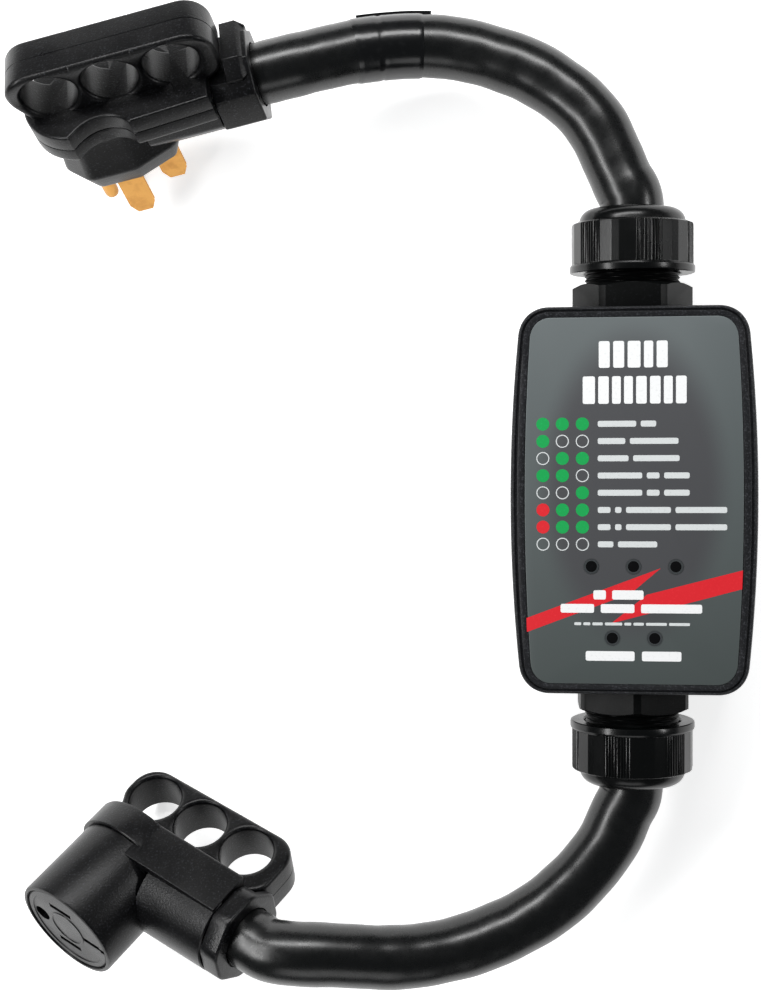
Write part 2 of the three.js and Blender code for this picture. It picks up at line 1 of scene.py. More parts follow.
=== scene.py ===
"""A portable surge protector: box, two cable glands, two short cords, a right-angle plug, a connector.

Shapes are worked out in millimetres, each in its own sub-assembly's axes, and placed in metres in
the frame. A new piece stands for one node of the frame and lies where that node lies.
"""

import json
import logging
import math
from dataclasses import dataclass, field
from enum import Enum
from typing import Any, Sequence

import bmesh
import bpy
import numpy as np
from mathutils import Matrix, Vector


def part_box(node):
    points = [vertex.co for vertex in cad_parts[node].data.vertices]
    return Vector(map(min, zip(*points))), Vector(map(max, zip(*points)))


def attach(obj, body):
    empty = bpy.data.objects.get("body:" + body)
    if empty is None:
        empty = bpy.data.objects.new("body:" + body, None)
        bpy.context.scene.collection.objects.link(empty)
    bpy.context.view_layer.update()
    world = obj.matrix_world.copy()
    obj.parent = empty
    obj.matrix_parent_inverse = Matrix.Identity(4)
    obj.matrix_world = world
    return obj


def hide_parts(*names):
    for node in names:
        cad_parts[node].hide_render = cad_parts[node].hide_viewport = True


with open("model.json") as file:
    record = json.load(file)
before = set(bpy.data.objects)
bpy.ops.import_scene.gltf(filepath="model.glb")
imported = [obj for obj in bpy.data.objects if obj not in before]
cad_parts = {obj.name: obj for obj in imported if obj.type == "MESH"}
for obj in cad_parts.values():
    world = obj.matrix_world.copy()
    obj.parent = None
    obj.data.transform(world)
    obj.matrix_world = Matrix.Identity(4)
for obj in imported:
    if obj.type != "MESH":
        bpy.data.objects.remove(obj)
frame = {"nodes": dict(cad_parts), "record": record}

MM = 0.001
LOG = logging.getLogger("surge_protector")

# The cords' centrelines in metres, from inside each gland to the collar of what is on the end.
UPPER_ROUTE = (
    (0, 0.1073, 0.044), (0, 0.119, 0.044), (0, 0.131, 0.044), (-0.0006, 0.141, 0.044),
    (-0.0047, 0.1495, 0.043), (-0.0096, 0.161, 0.0416), (-0.016, 0.1746, 0.0404),
    (-0.025, 0.186, 0.0395), (-0.0362, 0.1951, 0.0388), (-0.0485, 0.2028, 0.0382),
    (-0.0618, 0.2083, 0.0378), (-0.0755, 0.2127, 0.0375), (-0.0895, 0.2153, 0.0379),
    (-0.1036, 0.2157, 0.04), (-0.1177, 0.2147, 0.0428), (-0.1317, 0.2126, 0.0462),
    (-0.1455, 0.2092, 0.0502), (-0.1565, 0.2063, 0.053), (-0.1677, 0.2037, 0.0541),
    (-0.1775, 0.2015, 0.0541),
)
LOWER_ROUTE = (
    (0, -0.1073, 0.044), (0, -0.119, 0.044), (0, -0.131, 0.044), (-0.0006, -0.141, 0.044),
    (-0.005, -0.15, 0.0442), (-0.0109, -0.163, 0.0454), (-0.0194, -0.175, 0.0469),
    (-0.0292, -0.1856, 0.0487), (-0.04, -0.1946, 0.051), (-0.0518, -0.2016, 0.054),
    (-0.0642, -0.207, 0.0576), (-0.0772, -0.2113, 0.0616), (-0.0902, -0.2138, 0.066),
    (-0.1032, -0.215, 0.0704), (-0.1164, -0.2147, 0.0748), (-0.1296, -0.2132, 0.079),
    (-0.143, -0.2119, 0.0826), (-0.156, -0.2113, 0.0844), (-0.1686, -0.2105, 0.0826),
    (-0.1763, -0.2078, 0.0795), (-0.1815, -0.2058, 0.0771),
)


class Axis(Enum):
    """The way an outline is raised: the columns that the outline and the height go to."""

    X = (1, 2, 0)
    Y = (0, 2, 1)
    Z = (0, 1, 2)


class End(Enum):
    """The box's two ends, and the way each looks along Y."""

    UPPER = 1
    LOWER = -1

    @property
    def word(self) -> str:
        """The end's name as the nodes have it."""
        return self.name.lower()


# ---- shapes -----------------------------------------------------------------------------------
@dataclass
class Shape:
    """Points in millimetres, faces that index them, and an optional map of two numbers a point."""

    points: np.ndarray
    faces: list[Sequence[int]]
    uv: np.ndarray | None = None

    def __add__(self, other: "Shape") -> "Shape":
        """Both shapes as one, side by side."""
        shift = len(self.points)
        faces = [[i + shift for i in face] for face in other.faces]
        return Shape(np.concatenate([self.points, other.points]), [*self.faces, *faces])

    def moved(self, x: float, y: float, z: float) -> "Shape":
        """The shape shifted by a step."""
        return Shape(self.points + np.array([x, y, z]), self.faces, self.uv)


def joined(shapes: Sequence[Shape]) -> Shape:
    """Several shapes as one, side by side."""
    whole = shapes[0]
    for shape in shapes[1:]:
        whole = whole + shape
    return whole


@dataclass(frozen=True)
class Seat:
    """Where a sub-assembly lies: its origin and its three axes, in the frame's millimetres."""

    origin: np.ndarray
    axes: np.ndarray

    @classmethod
    def upright(cls) -> "Seat":
        """The frame's own origin and axes."""
        return cls(np.zeros(3), np.eye(3))

    @classmethod
    def of_gland(cls, end: End) -> "Seat":
        """A gland's seat: Z out of the box along the gland, from the middle of the box's end face."""
        low, high = (np.array(c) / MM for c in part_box("back_shell"))
        nut = [np.array(c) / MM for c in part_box(f"{end.word}_dome_nut")]
        height = (nut[0][2] + nut[1][2]) / 2
        at = np.array([0.0, high[1] if end is End.UPPER else low[1], height])
        out = float(end.value)
        return cls(at, np.array([[1, 0, 0], [0, 0, -out], [0, out, 0]]))

    @classmethod
    def of_face(cls, mount: str, near: str, far: str, at: Sequence[float]) -> "Seat":
        """The seat of a plug or connector, from its face's mount and two alike nodes side by side.

        Args:
            mount: the record's mount on the face, whose axis points away from the cord's side.
            near: the node of the pair on the +Y side of the sub-assembly's middle plane.
            far: the node of the pair on the other side.
            at: where the mount is in the sub-assembly's own millimetres.

        Returns:
            The seat, with X along the cord, Y across and Z towards the grip.
        """
        stated = next(m for m in frame["record"]["mounts"] if m["name"] == mount)
        z = -unit(np.array(stated["axis"], float))
        middles = [np.mean([np.array(c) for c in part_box(node)], axis=0) for node in (near, far)]
        y = unit(middles[0] - middles[1])
        axes = np.array([np.cross(y, z), y, z])
        return cls(np.array(stated["pos_m"]) / MM - np.array(at) @ axes, axes)

    def place(self, points: np.ndarray) -> np.ndarray:
        """Points of the sub-assembly as metres in the frame."""
        return (points @ self.axes + self.origin) * MM


def unit(vectors: np.ndarray) -> np.ndarray:
    """Vectors made one long."""
    return vectors / np.maximum(np.linalg.norm(vectors, axis=-1, keepdims=True), 1e-12)


def lattice(rows: int, columns: int, ring: bool = True) -> np.ndarray:
    """The four-sided faces of a grid of points numbered row by row.

    Args:
        rows: how many rows of points.
        columns: how many points in a row.
        ring: whether a row's last point joins its first.

    Returns:
        One row of four point numbers for each face.
    """
    i = np.arange(rows - 1)[:, None] * columns
    j = np.arange(columns if ring else columns - 1)[None, :]
    k = (j + 1) % columns
    return np.stack([i + j, i + k, i + columns + k, i + columns + j], axis=-1).reshape(-1, 4)


def stacked(rings: np.ndarray, closed: bool = False) -> Shape:
    """Rings joined one to the next. The two ends are filled, or joined to each other.

    Args:
        rings: points as rings, points in a ring, and three coordinates.
        closed: joins the last ring to the first in place of filling the ends.

    Returns:
        The closed skin through the rings.
    """
    count, around = rings.shape[:2]
    points = rings.reshape(-1, 3)
    if closed:
        return Shape(points, (lattice(count + 1, around) % len(points)).tolist())
    ends = [list(range(around)), list(range((count - 1) * around, count * around))]
    return Shape(points, lattice(count, around).tolist() + ends)


def rounded(corners: Sequence[Sequence[float]], steps: int = 7) -> np.ndarray:
    """A closed outline whose corners are arcs that touch both their sides.

    The arc's centre lies on the corner's halving line, radius / sin(half the angle) from it, and the
    arc runs from one touching point to the other by spherical interpolation about that centre.

    Args:
        corners: x, y and radius of each corner, in order.
        steps: points on each arc.

    Returns:
        The outline's points.
    """
    table = np.array(corners, float)
    at, radius = table[:, :2], table[:, 2:3]
    back, ahead = unit(np.roll(at, 1, 0) - at), unit(np.roll(at, -1, 0) - at)
    half = np.arccos(np.clip((back * ahead).sum(1, keepdims=True), -1, 1)) / 2
    centre = at + unit(back + ahead) * radius / np.sin(half)
    start, end = (at + way * radius / np.tan(half) - centre for way in (back, ahead))
    sweep = math.pi - 2 * half
    t = np.linspace(0, 1, steps)[None, :]
    first, last = np.sin((1 - t) * sweep) / np.sin(sweep), np.sin(t * sweep) / np.sin(sweep)
    arcs = centre[:, None] + first[..., None] * start[:, None] + last[..., None] * end[:, None]
    return arcs.reshape(-1, 2)


def bezier(count: int, *control: Sequence[float]) -> np.ndarray:
    """Points on the Bezier curve of the control points, without the last, by repeated halving."""
    t = np.linspace(0, 1, count, endpoint=False)[:, None]
    level = [np.array([point], float) for point in control]
    while len(level) > 1:
        level = [a * (1 - t) + b * t for a, b in zip(level, level[1:])]
    return level[0]


def shrunk(outline: np.ndarray, inset: float) -> np.ndarray:
    """An anticlockwise outline moved in: each point goes along the mean of its two sides' normals."""
    side = unit(np.roll(outline, -1, 0) - outline)
    normal = np.stack([-side[:, 1], side[:, 0]], axis=1)
    mean = unit(normal + np.roll(normal, 1, 0))
    share = np.maximum((mean * normal).sum(1, keepdims=True), 0.5)
    return outline + mean * inset / share


def soft_edges(low: float, high: float, low_round: float, high_round: float) -> list[tuple[float, float]]:
    """Inset and height up a straight wall whose two edges are quarter rounds."""
    turn = np.linspace(0, math.pi / 2, 5)
    foot = zip(low_round * (1 - np.sin(turn)), low + low_round * (1 - np.cos(turn)))
    head = zip(high_round * (1 - np.cos(turn)), high - high_round * (1 - np.sin(turn)))
    return [*foot, *head]


def moulding(outline: np.ndarray, edge: Sequence[tuple[float, float]], axis: Axis = Axis.Z) -> Shape:
    """An outline raised along an axis, moved in by the edge's inset at each of its heights.

    Args:
        outline: anticlockwise points in the two columns across the axis.
        edge: inset and height of each ring, from one end to the other.
        axis: the axis that the heights run along.

    Returns:
        The closed moulding.
    """
    rings = np.zeros((len(edge), len(outline), 3))
    first, second, along = axis.value
    for ring, (inset, height) in zip(rings, edge):
        ring[:, [first, second]] = shrunk(outline, inset)
        ring[:, along] = height
    return stacked(rings)


def turned(profile: Sequence[tuple[float, float]], around: int = 64, closed: bool = False) -> Shape:
    """A profile of radius and height turned about Z: (r cos a, r sin a, z) for a whole turn of a."""
    table = np.array(profile, float)
    angle = np.linspace(0, 2 * math.pi, around, endpoint=False)
    radius, height = table[:, :1], table[:, 1:]
    rings = np.stack([radius * np.cos(angle), radius * np.sin(angle), height + 0 * angle], axis=-1)
    return stacked(rings, closed)


def disc(radius: float, low: float, high: float, around: int = 48) -> Shape:
    """A plain round bar about Z, for cutting holes and joining posts."""
    return turned([(radius, low), (radius, high)], around)


def distance_to(outline: np.ndarray, points: np.ndarray) -> np.ndarray:
    """How far each point lies from the nearest side of a closed outline."""
    side = np.roll(outline, -1, 0) - outline
    offset = points[:, None] - outline[None]
    share = np.clip((offset * side).sum(-1) / (side * side).sum(-1).clip(1e-12), 0, 1)
    return np.linalg.norm(offset - share[..., None] * side, axis=-1).min(1)


def reach(outline: np.ndarray, centre: np.ndarray, ways: np.ndarray) -> tuple[np.ndarray, np.ndarray]:
    """How far each ray from a centre runs to an outline, and which side it meets."""
    side = np.roll(outline, -1, 0) - outline
    offset = outline - centre
    cross = ways[:, None, 0] * side[:, 1] - ways[:, None, 1] * side[:, 0]
    cross = np.where(np.abs(cross) < 1e-12, 1e-12, cross)
    far = (offset[:, 0] * side[:, 1] - offset[:, 1] * side[:, 0]) / cross
    share = (offset[:, 0] * ways[:, None, 1] - offset[:, 1] * ways[:, None, 0]) / cross
    far = np.where((far > 0) & (share > -1e-6) & (share < 1 + 1e-6), far, np.inf)
    return far.min(1), far.argmin(1)


@dataclass(frozen=True)
class PiercedPlate:
    """A flat plate in X and Z with a row of round holes along X and softened edges.

    Each hole's cell is a grid of two parameters: the angle round the hole, and the share of the way
    from the hole to the cell's own edge. Half the plate's thickness at a point is
    half - soft + sqrt(soft^2 - (soft - d)^2), with d the distance to the nearest edge, up to soft.
    One face may swell out towards the plate's upper edge, and a fine mould seam runs round the rim.

    Attributes:
        outline: the rim, anticlockwise in X and Z.
        centres: the holes' places along X.
        hole: the holes' radius.
        half: half the plate's thickness away from its edges.
        soft: the radius of the rounding at every edge.
        flare: how far the near face swells out, over flare_over of height from flare_from.
        seam: how deep the mould seam is cut, to seam_half each side of the middle.
        rays: points round a hole.
        across: points from a hole to its cell's edge.
    """

    outline: np.ndarray
    centres: Sequence[float]
    hole: float
    half: float
    soft: float = 2.2
    flare: float = 0.0
    seam: float = 0.35
    rays: int = 72
    across: int = 15
    flare_from: float = -2.0
    flare_over: float = 16.0
    seam_half: float = 0.3

    def height(self, points: np.ndarray) -> np.ndarray:
        """Half the plate's thickness at points in X and Z, without the lip."""
        holes = np.stack([points - np.array([x, 0.0]) for x in self.centres])
        edge = np.minimum(distance_to(self.outline, points),
                          (np.linalg.norm(holes, axis=-1) - self.hole).min(0))
        short = self.soft - np.clip(edge, 0, self.soft)
        return self.half - self.soft + np.sqrt(np.maximum(self.soft**2 - short**2, 0))

    def lip(self, points: np.ndarray) -> np.ndarray:
        """How far the plate's near face swells out towards its upper edge, as a smooth step."""
        rise = np.clip((points[:, 1] - self.flare_from) / self.flare_over, 0, 1)
        return self.flare * rise * rise * (3 - 2 * rise)

    def cell(self, centre: float, borders: Sequence[float]) -> Shape:
        """The stretch of the plate round one hole.

        Args:
            centre: the hole's place along X.
            borders: where along X the cell meets its neighbours.

        Returns:
            The cell's two faces, its hole's wall and its stretch of the rim, open at the borders.
        """
        angles = np.linspace(0, 2 * math.pi, self.rays, endpoint=False)
        for border in borders:
            for up in (1.0, -1.0):
                top, _ = reach(self.outline, np.array([border, 0.0]), np.array([[0.0, up]]))
                corner = math.atan2(up * top[0], border - centre) % (2 * math.pi)
                angles = np.append(angles[np.abs(angles - corner) > 0.02], corner)
        angles = np.sort(angles)
        ways = np.stack([np.cos(angles), np.sin(angles)], axis=1)
        middle = np.array([centre, 0.0])
        far, met = reach(self.outline, middle, ways)
        limit = np.full(len(angles), np.inf)
        for border in borders:
            along = (border - centre) / np.where(np.abs(ways[:, 0]) < 1e-9, 1e-9, ways[:, 0])
            limit = np.minimum(limit, np.where(along > 0, along, np.inf))
        real = far <= limit + 1e-4
        far = np.minimum(far, limit)
        share = (1 - np.cos(math.pi * np.linspace(0, 1, self.across))) / 2
        radius = self.hole + (far[:, None] - self.hole) * share
        flat = middle + radius[..., None] * ways[:, None]
        half = self.height(flat.reshape(-1, 2)).reshape(radius.shape)
        near = -half - self.lip(flat.reshape(-1, 2)).reshape(radius.shape)
        faces = [np.stack([flat[..., 0], y, flat[..., 1]], axis=-1) for y in (half, near)]
        side = unit(np.roll(self.outline, -1, 0) - self.outline)[met]
        outward = np.stack([side[:, 1], 0 * far, -side[:, 0]], axis=1)
        rim = [faces[0][:, -1], faces[1][:, -1]]
        groove = [(rim[0] + rim[1]) / 2 + np.array([0, y, 0]) - outward * depth
                  for y, depth in ((self.seam_half, 0), (0, self.seam), (-self.seam_half, 0))]
        wall = np.stack([rim[0], *groove, rim[1]], axis=1)
        count = len(angles)
        skin = lattice(count + 1, self.across, ring=False) % (count * self.across)
        bore = np.stack([faces[0][:, 0], faces[1][:, 0]], axis=1)
        shape = Shape(faces[0].reshape(-1, 3), skin.tolist())
        shape += Shape(faces[1].reshape(-1, 3), skin.tolist())
        shape += Shape(bore.reshape(-1, 3), (lattice(count + 1, 2, ring=False) % (2 * count)).tolist())
        sides = lattice(count + 1, 5, ring=False).reshape(count, 4, 4) % (5 * count)
        kept = sides[real & np.roll(real, -1)]
        return shape + Shape(wall.reshape(-1, 3), kept.reshape(-1, 4).tolist())

    def shape(self) -> Shape:
        """The whole plate: every hole's cell, side by side."""
        borders = [(a + b) / 2 for a, b in zip(self.centres, self.centres[1:])]
        cells = [self.cell(x, borders[max(i - 1, 0):i + 1]) for i, x in enumerate(self.centres)]
        return joined(cells)


# ---- pieces -----------------------------------------------------------------------------------
def make_piece(name: str, shape: Shape, seat: Seat, sharp: float = 32.0) -> bpy.types.Object:
    """A mesh object of a shape, with its place in its mesh and its faces pointing out.

    Args:
        name: the piece's name.
        shape: its points and faces in its own millimetres.
        seat: where it lies.
        sharp: the angle in degrees from which an edge is drawn sharp.

    Returns:
        The new object.
    """
    mesh = bpy.data.meshes.new(name)
    mesh.from_pydata(seat.place(shape.points).tolist(), [], shape.faces)
    if shape.uv is not None:
        corners = np.zeros(len(mesh.loops), np.int32)
        mesh.loops.foreach_get("vertex_index", corners)
        layer = mesh.uv_layers.new(name="along")
        layer.data.foreach_set("uv", shape.uv[corners].astype(np.float32).ravel())
    form = bmesh.new()
    form.from_mesh(mesh)
    bmesh.ops.remove_doubles(form, verts=form.verts, dist=2e-6)
    bmesh.ops.recalc_face_normals(form, faces=form.faces)
    form.to_mesh(mesh)
    form.free()
    piece = bpy.data.objects.new(name, mesh)
    bpy.context.scene.collection.objects.link(piece)
    smooth(piece, sharp)
    return piece


def smooth(piece: bpy.types.Object, sharp: float) -> None:
    """Shades a piece smooth but for edges turned by more than an angle in degrees."""
    piece.data.shade_smooth()
    piece.data.set_sharp_from_angle(angle=math.radians(sharp))


def worked(piece: bpy.types.Object, how: str, *tools: Shape, seat: Seat, sharp: float = 32.0) -> None:
    """Joins shapes to a piece, cuts them out of it, or keeps only what lies inside them.

    Args:
        piece: the piece to work.
        how: UNION, DIFFERENCE or INTERSECT.
        tools: the shapes, in the seat's millimetres.
        seat: where the shapes lie.
        sharp: the angle from which an edge is drawn sharp afterwards.
    """
    for i, tool in enumerate(tools):
        other = make_piece(f"tool_{i}", tool, seat)
        step = piece.modifiers.new("work", "BOOLEAN")
        step.operation, step.solver, step.object = how, "MANIFOLD", other
        depsgraph = bpy.context.evaluated_depsgraph_get()
        made = bpy.data.meshes.new_from_object(piece.evaluated_get(depsgraph))
        piece.modifiers.clear()
        old, piece.data = piece.data, made
        made.name = piece.name
        bpy.data.meshes.remove(old)
        bpy.data.objects.remove(other)
    smooth(piece, sharp)


def box_between(low: Sequence[float], high: Sequence[float]) -> Shape:
    """A plain block between two corners, for cutting slots."""
    corners = [(low[0], low[1]), (high[0], low[1]), (high[0], high[1]), (low[0], high[1])]
    return moulding(np.array(corners, float), [(0, low[2]), (0, high[2])])


# ---- finishes ---------------------------------------------------------------------------------
def linear(colour: str) -> tuple[float, float, float, float]:
    """A colour written as sRGB hex, as linear red, green, blue and alpha."""
    values = np.array([int(colour[i:i + 2], 16) / 255 for i in (1, 3, 5)])
    low, high = values / 12.92, ((values + 0.055) / 1.055) ** 2.4
    return (*np.where(values <= 0.04045, low, high).tolist(), 1.0)


def add_node(tree: bpy.types.NodeTree, kind: str, settings: dict[Any, Any] | None = None,
             links: dict[Any, Any] | None = None) -> bpy.types.Node:
    """A node with its settings and the sockets that feed it.

    Args:
        tree: the material's node tree.
        kind: the node's type.
        settings: values by input name or number, or by the node's own property.
        links: output sockets by input name or number.

    Returns:
        The node.
    """
    node = tree.nodes.new(kind)
    for key, value in (settings or {}).items():
        if isinstance(key, int) or key in node.inputs:
            node.inputs[key].default_value = value
        else:
            setattr(node, key, value)
    for key, socket in (links or {}).items():
        tree.links.new(socket, node.inputs[key])
    return node


def new_tree(name: str) -> tuple[bpy.types.Material, bpy.types.NodeTree, bpy.types.Node, Any]:
    """A new material, its tree, its shader and the Object coordinates."""
    material = bpy.data.materials.new(name)
    material.use_nodes = True
    tree = material.node_tree
    tree.nodes.clear()
    shader = add_node(tree, "ShaderNodeBsdfPrincipled")
    add_node(tree, "ShaderNodeOutputMaterial", links={"Surface": shader.outputs["BSDF"]})
    place = add_node(tree, "ShaderNodeTexCoord").outputs["Object"]
    return material, tree, shader, place


def give(tree: bpy.types.NodeTree, shader: bpy.types.Node, colour: bpy.types.Node,
         rough: bpy.types.Node, bump: bpy.types.Node) -> None:
    """Feeds a shader its mixed colour, its mapped roughness and its bumped normal."""
    tree.links.new(colour.outputs[2], shader.inputs["Base Color"])
    tree.links.new(rough.outputs["Result"], shader.inputs["Roughness"])
    tree.links.new(bump.outputs["Normal"], shader.inputs["Normal"])


@dataclass(frozen=True)
class Moulded:
    """Injection-moulded or dipped plastic: a fine even grain from the mould, small lighter flecks,
    and patches where the mould was smoother or a hand has polished it.

    Attributes:
        name: the material's name.
        colour: the body colour, sRGB hex.
        fleck: the colour of the flecks.
        roughness: the middle roughness.
        grain: the grain's size in millimetres.
        depth: the grain's height in millimetres.
        patches: how far the roughness swings either way.
        ior: index of refraction.
        fleck_from: the share of the noise from which a fleck shows; higher is sparser.
        sheen: the strength of the surface's own mirror light.
    """

    name: str
    colour: str
    fleck: str
    roughness: float
    grain: float
    depth: float
    patches: float = 0.08
    ior: float = 1.5
    fleck_from: float = 0.56
    sheen: float = 0.5
    patch_size: float = 28.0

    def material(self) -> bpy.types.Material:
        """The finish as a node material."""
        material, tree, shader, place = new_tree(self.name)
        shader.inputs["IOR"].default_value = self.ior
        shader.inputs["Specular IOR Level"].default_value = self.sheen
        fine = add_node(tree, "ShaderNodeTexNoise", {"Scale": 1 / (self.grain * MM), "Detail": 2.0},
                        {"Vector": place})
        broad = add_node(tree, "ShaderNodeTexNoise",
                         {"Scale": 1 / (self.patch_size * MM), "Detail": 5.0}, {"Vector": place})
        flecks = add_node(tree, "ShaderNodeMapRange",
                          {"From Min": self.fleck_from, "From Max": 0.78}, {"Value": fine.outputs["Fac"]})
        colour = add_node(tree, "ShaderNodeMix",
                          {"data_type": "RGBA", 6: linear(self.colour), 7: linear(self.fleck)},
                          {0: flecks.outputs["Result"]})
        rough = add_node(tree, "ShaderNodeMapRange",
                         {"From Min": 0.3, "From Max": 0.7, "To Min": self.roughness - self.patches,
                          "To Max": self.roughness + self.patches}, {"Value": broad.outputs["Fac"]})
        bump = add_node(tree, "ShaderNodeBump", {"Strength": 1.0, "Distance": self.depth * MM},
                        {"Height": fine.outputs["Fac"]})
        give(tree, shader, colour, rough, bump)
        return material


@dataclass(frozen=True)
class CordJacket:
    """Extruded flexible PVC: black and glossy, with a faint waviness from the extruder, fine creases
    round it where it has been bent, and dull scuffs. Sizes and depths are in millimetres."""

    name: str
    colour: str = "#050606"
    dust: str = "#151516"
    roughness: float = 0.27
    crease: float = 1.6
    crease_depth: float = 0.012
    wave: float = 22.0
    wave_depth: float = 0.07
    scuff: float = 5.0

    def material(self) -> bpy.types.Material:
        """The finish as a node material."""
        material, tree, shader, place = new_tree(self.name)
        shader.inputs["IOR"].default_value = 1.53
        shader.inputs["Specular IOR Level"].default_value = 0.5
        along = add_node(tree, "ShaderNodeUVMap", {"uv_map": "along"})
        stretched = add_node(tree, "ShaderNodeMapping", {"Scale": (2.5, 1 / (self.crease * MM), 1)},
                             {"Vector": along.outputs["UV"]})
        creases = add_node(tree, "ShaderNodeTexNoise", {"Scale": 1.0, "Detail": 3.0},
                           {"Vector": stretched.outputs["Vector"]})
        wave = add_node(tree, "ShaderNodeTexNoise", {"Scale": 1 / (self.wave * MM), "Detail": 2.0},
                        {"Vector": place})
        scuffs = add_node(tree, "ShaderNodeTexNoise", {"Scale": 1 / (self.scuff * MM), "Detail": 6.0,
                                                       "Roughness": 0.7}, {"Vector": place})
        worn = add_node(tree, "ShaderNodeMapRange", {"From Min": 0.64, "From Max": 0.8},
                        {"Value": scuffs.outputs["Fac"]})
        colour = add_node(tree, "ShaderNodeMix",
                          {"data_type": "RGBA", 6: linear(self.colour), 7: linear(self.dust)},
                          {0: worn.outputs["Result"]})
        rough = add_node(tree, "ShaderNodeMapRange",
                         {"From Min": 0.35, "From Max": 0.75, "To Min": self.roughness - 0.02,
                          "To Max": self.roughness + 0.06}, {"Value": scuffs.outputs["Fac"]})
        low = add_node(tree, "ShaderNodeBump", {"Strength": 1.0, "Distance": self.wave_depth * MM},
                       {"Height": wave.outputs["Fac"]})
        high = add_node(tree, "ShaderNodeBump", {"Strength": 1.0, "Distance": self.crease_depth * MM},
                        {"Height": creases.outputs["Fac"], "Normal": low.outputs["Normal"]})
        give(tree, shader, colour, rough, high)
        return material


@dataclass(frozen=True)
class PrintedSheet:
    """Polycarbonate sheet printed from behind: a grey that darkens towards the lower end, a softly
    darker field in the middle, and a velvet grain on the front that scatters the light."""

    name: str
    top: str = "#5d6465"
    bottom: str = "#444b4a"
    field: str = "#434346"
    half_length: float = 83.0

    def material(self) -> bpy.types.Material:
        """The finish as a node material."""
        material, tree, shader, place = new_tree(self.name)
        shader.inputs["IOR"].default_value = 1.58
        shader.inputs["Roughness"].default_value = 0.42
        reach_y = self.half_length * MM
        parts = add_node(tree, "ShaderNodeSeparateXYZ", links={0: place})
        height = add_node(tree, "ShaderNodeMapRange", {"From Min": -reach_y, "From Max": reach_y},
                          {"Value": parts.outputs["Y"]})
        grey = add_node(tree, "ShaderNodeMix",
                        {"data_type": "RGBA", 6: linear(self.bottom), 7: linear(self.top)},
                        {0: height.outputs["Result"]})
        spread = (1 / (46 * MM), 1 / (78 * MM), 0)
        centred = add_node(tree, "ShaderNodeMapping", {"Scale": spread, "Location": (0, -0.08, 0)},
                           {"Vector": place})
        oval = add_node(tree, "ShaderNodeTexGradient", {"gradient_type": "SPHERICAL"},
                        {"Vector": centred.outputs["Vector"]})
        share = add_node(tree, "ShaderNodeMapRange",
                         {"interpolation_type": "SMOOTHSTEP", "From Max": 0.3, "To Max": 0.9},
                         {"Value": oval.outputs["Fac"]})
        colour = add_node(tree, "ShaderNodeMix", {"data_type": "RGBA", 7: linear(self.field)},
                          {0: share.outputs["Result"], 6: grey.outputs[2]})
        grain = add_node(tree, "ShaderNodeTexNoise", {"Scale": 1 / (0.7 * MM), "Detail": 2.0},
                         {"Vector": place})
        bump = add_node(tree, "ShaderNodeBump", {"Strength": 1.0, "Distance": 0.02 * MM},
                        {"Height": grain.outputs["Fac"]})
        tree.links.new(colour.outputs[2], shader.inputs["Base Color"])
        tree.links.new(bump.outputs["Normal"], shader.inputs["Normal"])
        return material


@dataclass(frozen=True)
class Metal:
    """Stamped or drawn metal: a clean colour of its own, rubbed lengthwise, a little uneven."""

    name: str
    colour: str
    tarnish: str
    roughness: float

    def material(self) -> bpy.types.Material:
        """The finish as a node material."""
        material, tree, shader, place = new_tree(self.name)
        shader.inputs["Metallic"].default_value = 1.0
        stretched = add_node(tree, "ShaderNodeMapping", {"Scale": (1, 1, 0.12)}, {"Vector": place})
        rubbed = add_node(tree, "ShaderNodeTexNoise", {"Scale": 1 / (0.6 * MM), "Detail": 3.0},
                          {"Vector": stretched.outputs["Vector"]})
        cloud = add_node(tree, "ShaderNodeTexNoise", {"Scale": 1 / (6 * MM), "Detail": 4.0},
                         {"Vector": place})
        share = add_node(tree, "ShaderNodeMapRange", {"From Min": 0.45, "From Max": 0.7},
                         {"Value": cloud.outputs["Fac"]})
        colour = add_node(tree, "ShaderNodeMix",
                          {"data_type": "RGBA", 6: linear(self.colour), 7: linear(self.tarnish)},
                          {0: share.outputs["Result"]})
        rough = add_node(tree, "ShaderNodeMapRange",
                         {"From Min": 0.3, "From Max": 0.7, "To Min": self.roughness - 0.08,
                          "To Max": self.roughness + 0.1}, {"Value": rubbed.outputs["Fac"]})
        bump = add_node(tree, "ShaderNodeBump", {"Strength": 1.0, "Distance": 0.01 * MM},
                        {"Height": rubbed.outputs["Fac"]})
        give(tree, shader, colour, rough, bump)
        return material


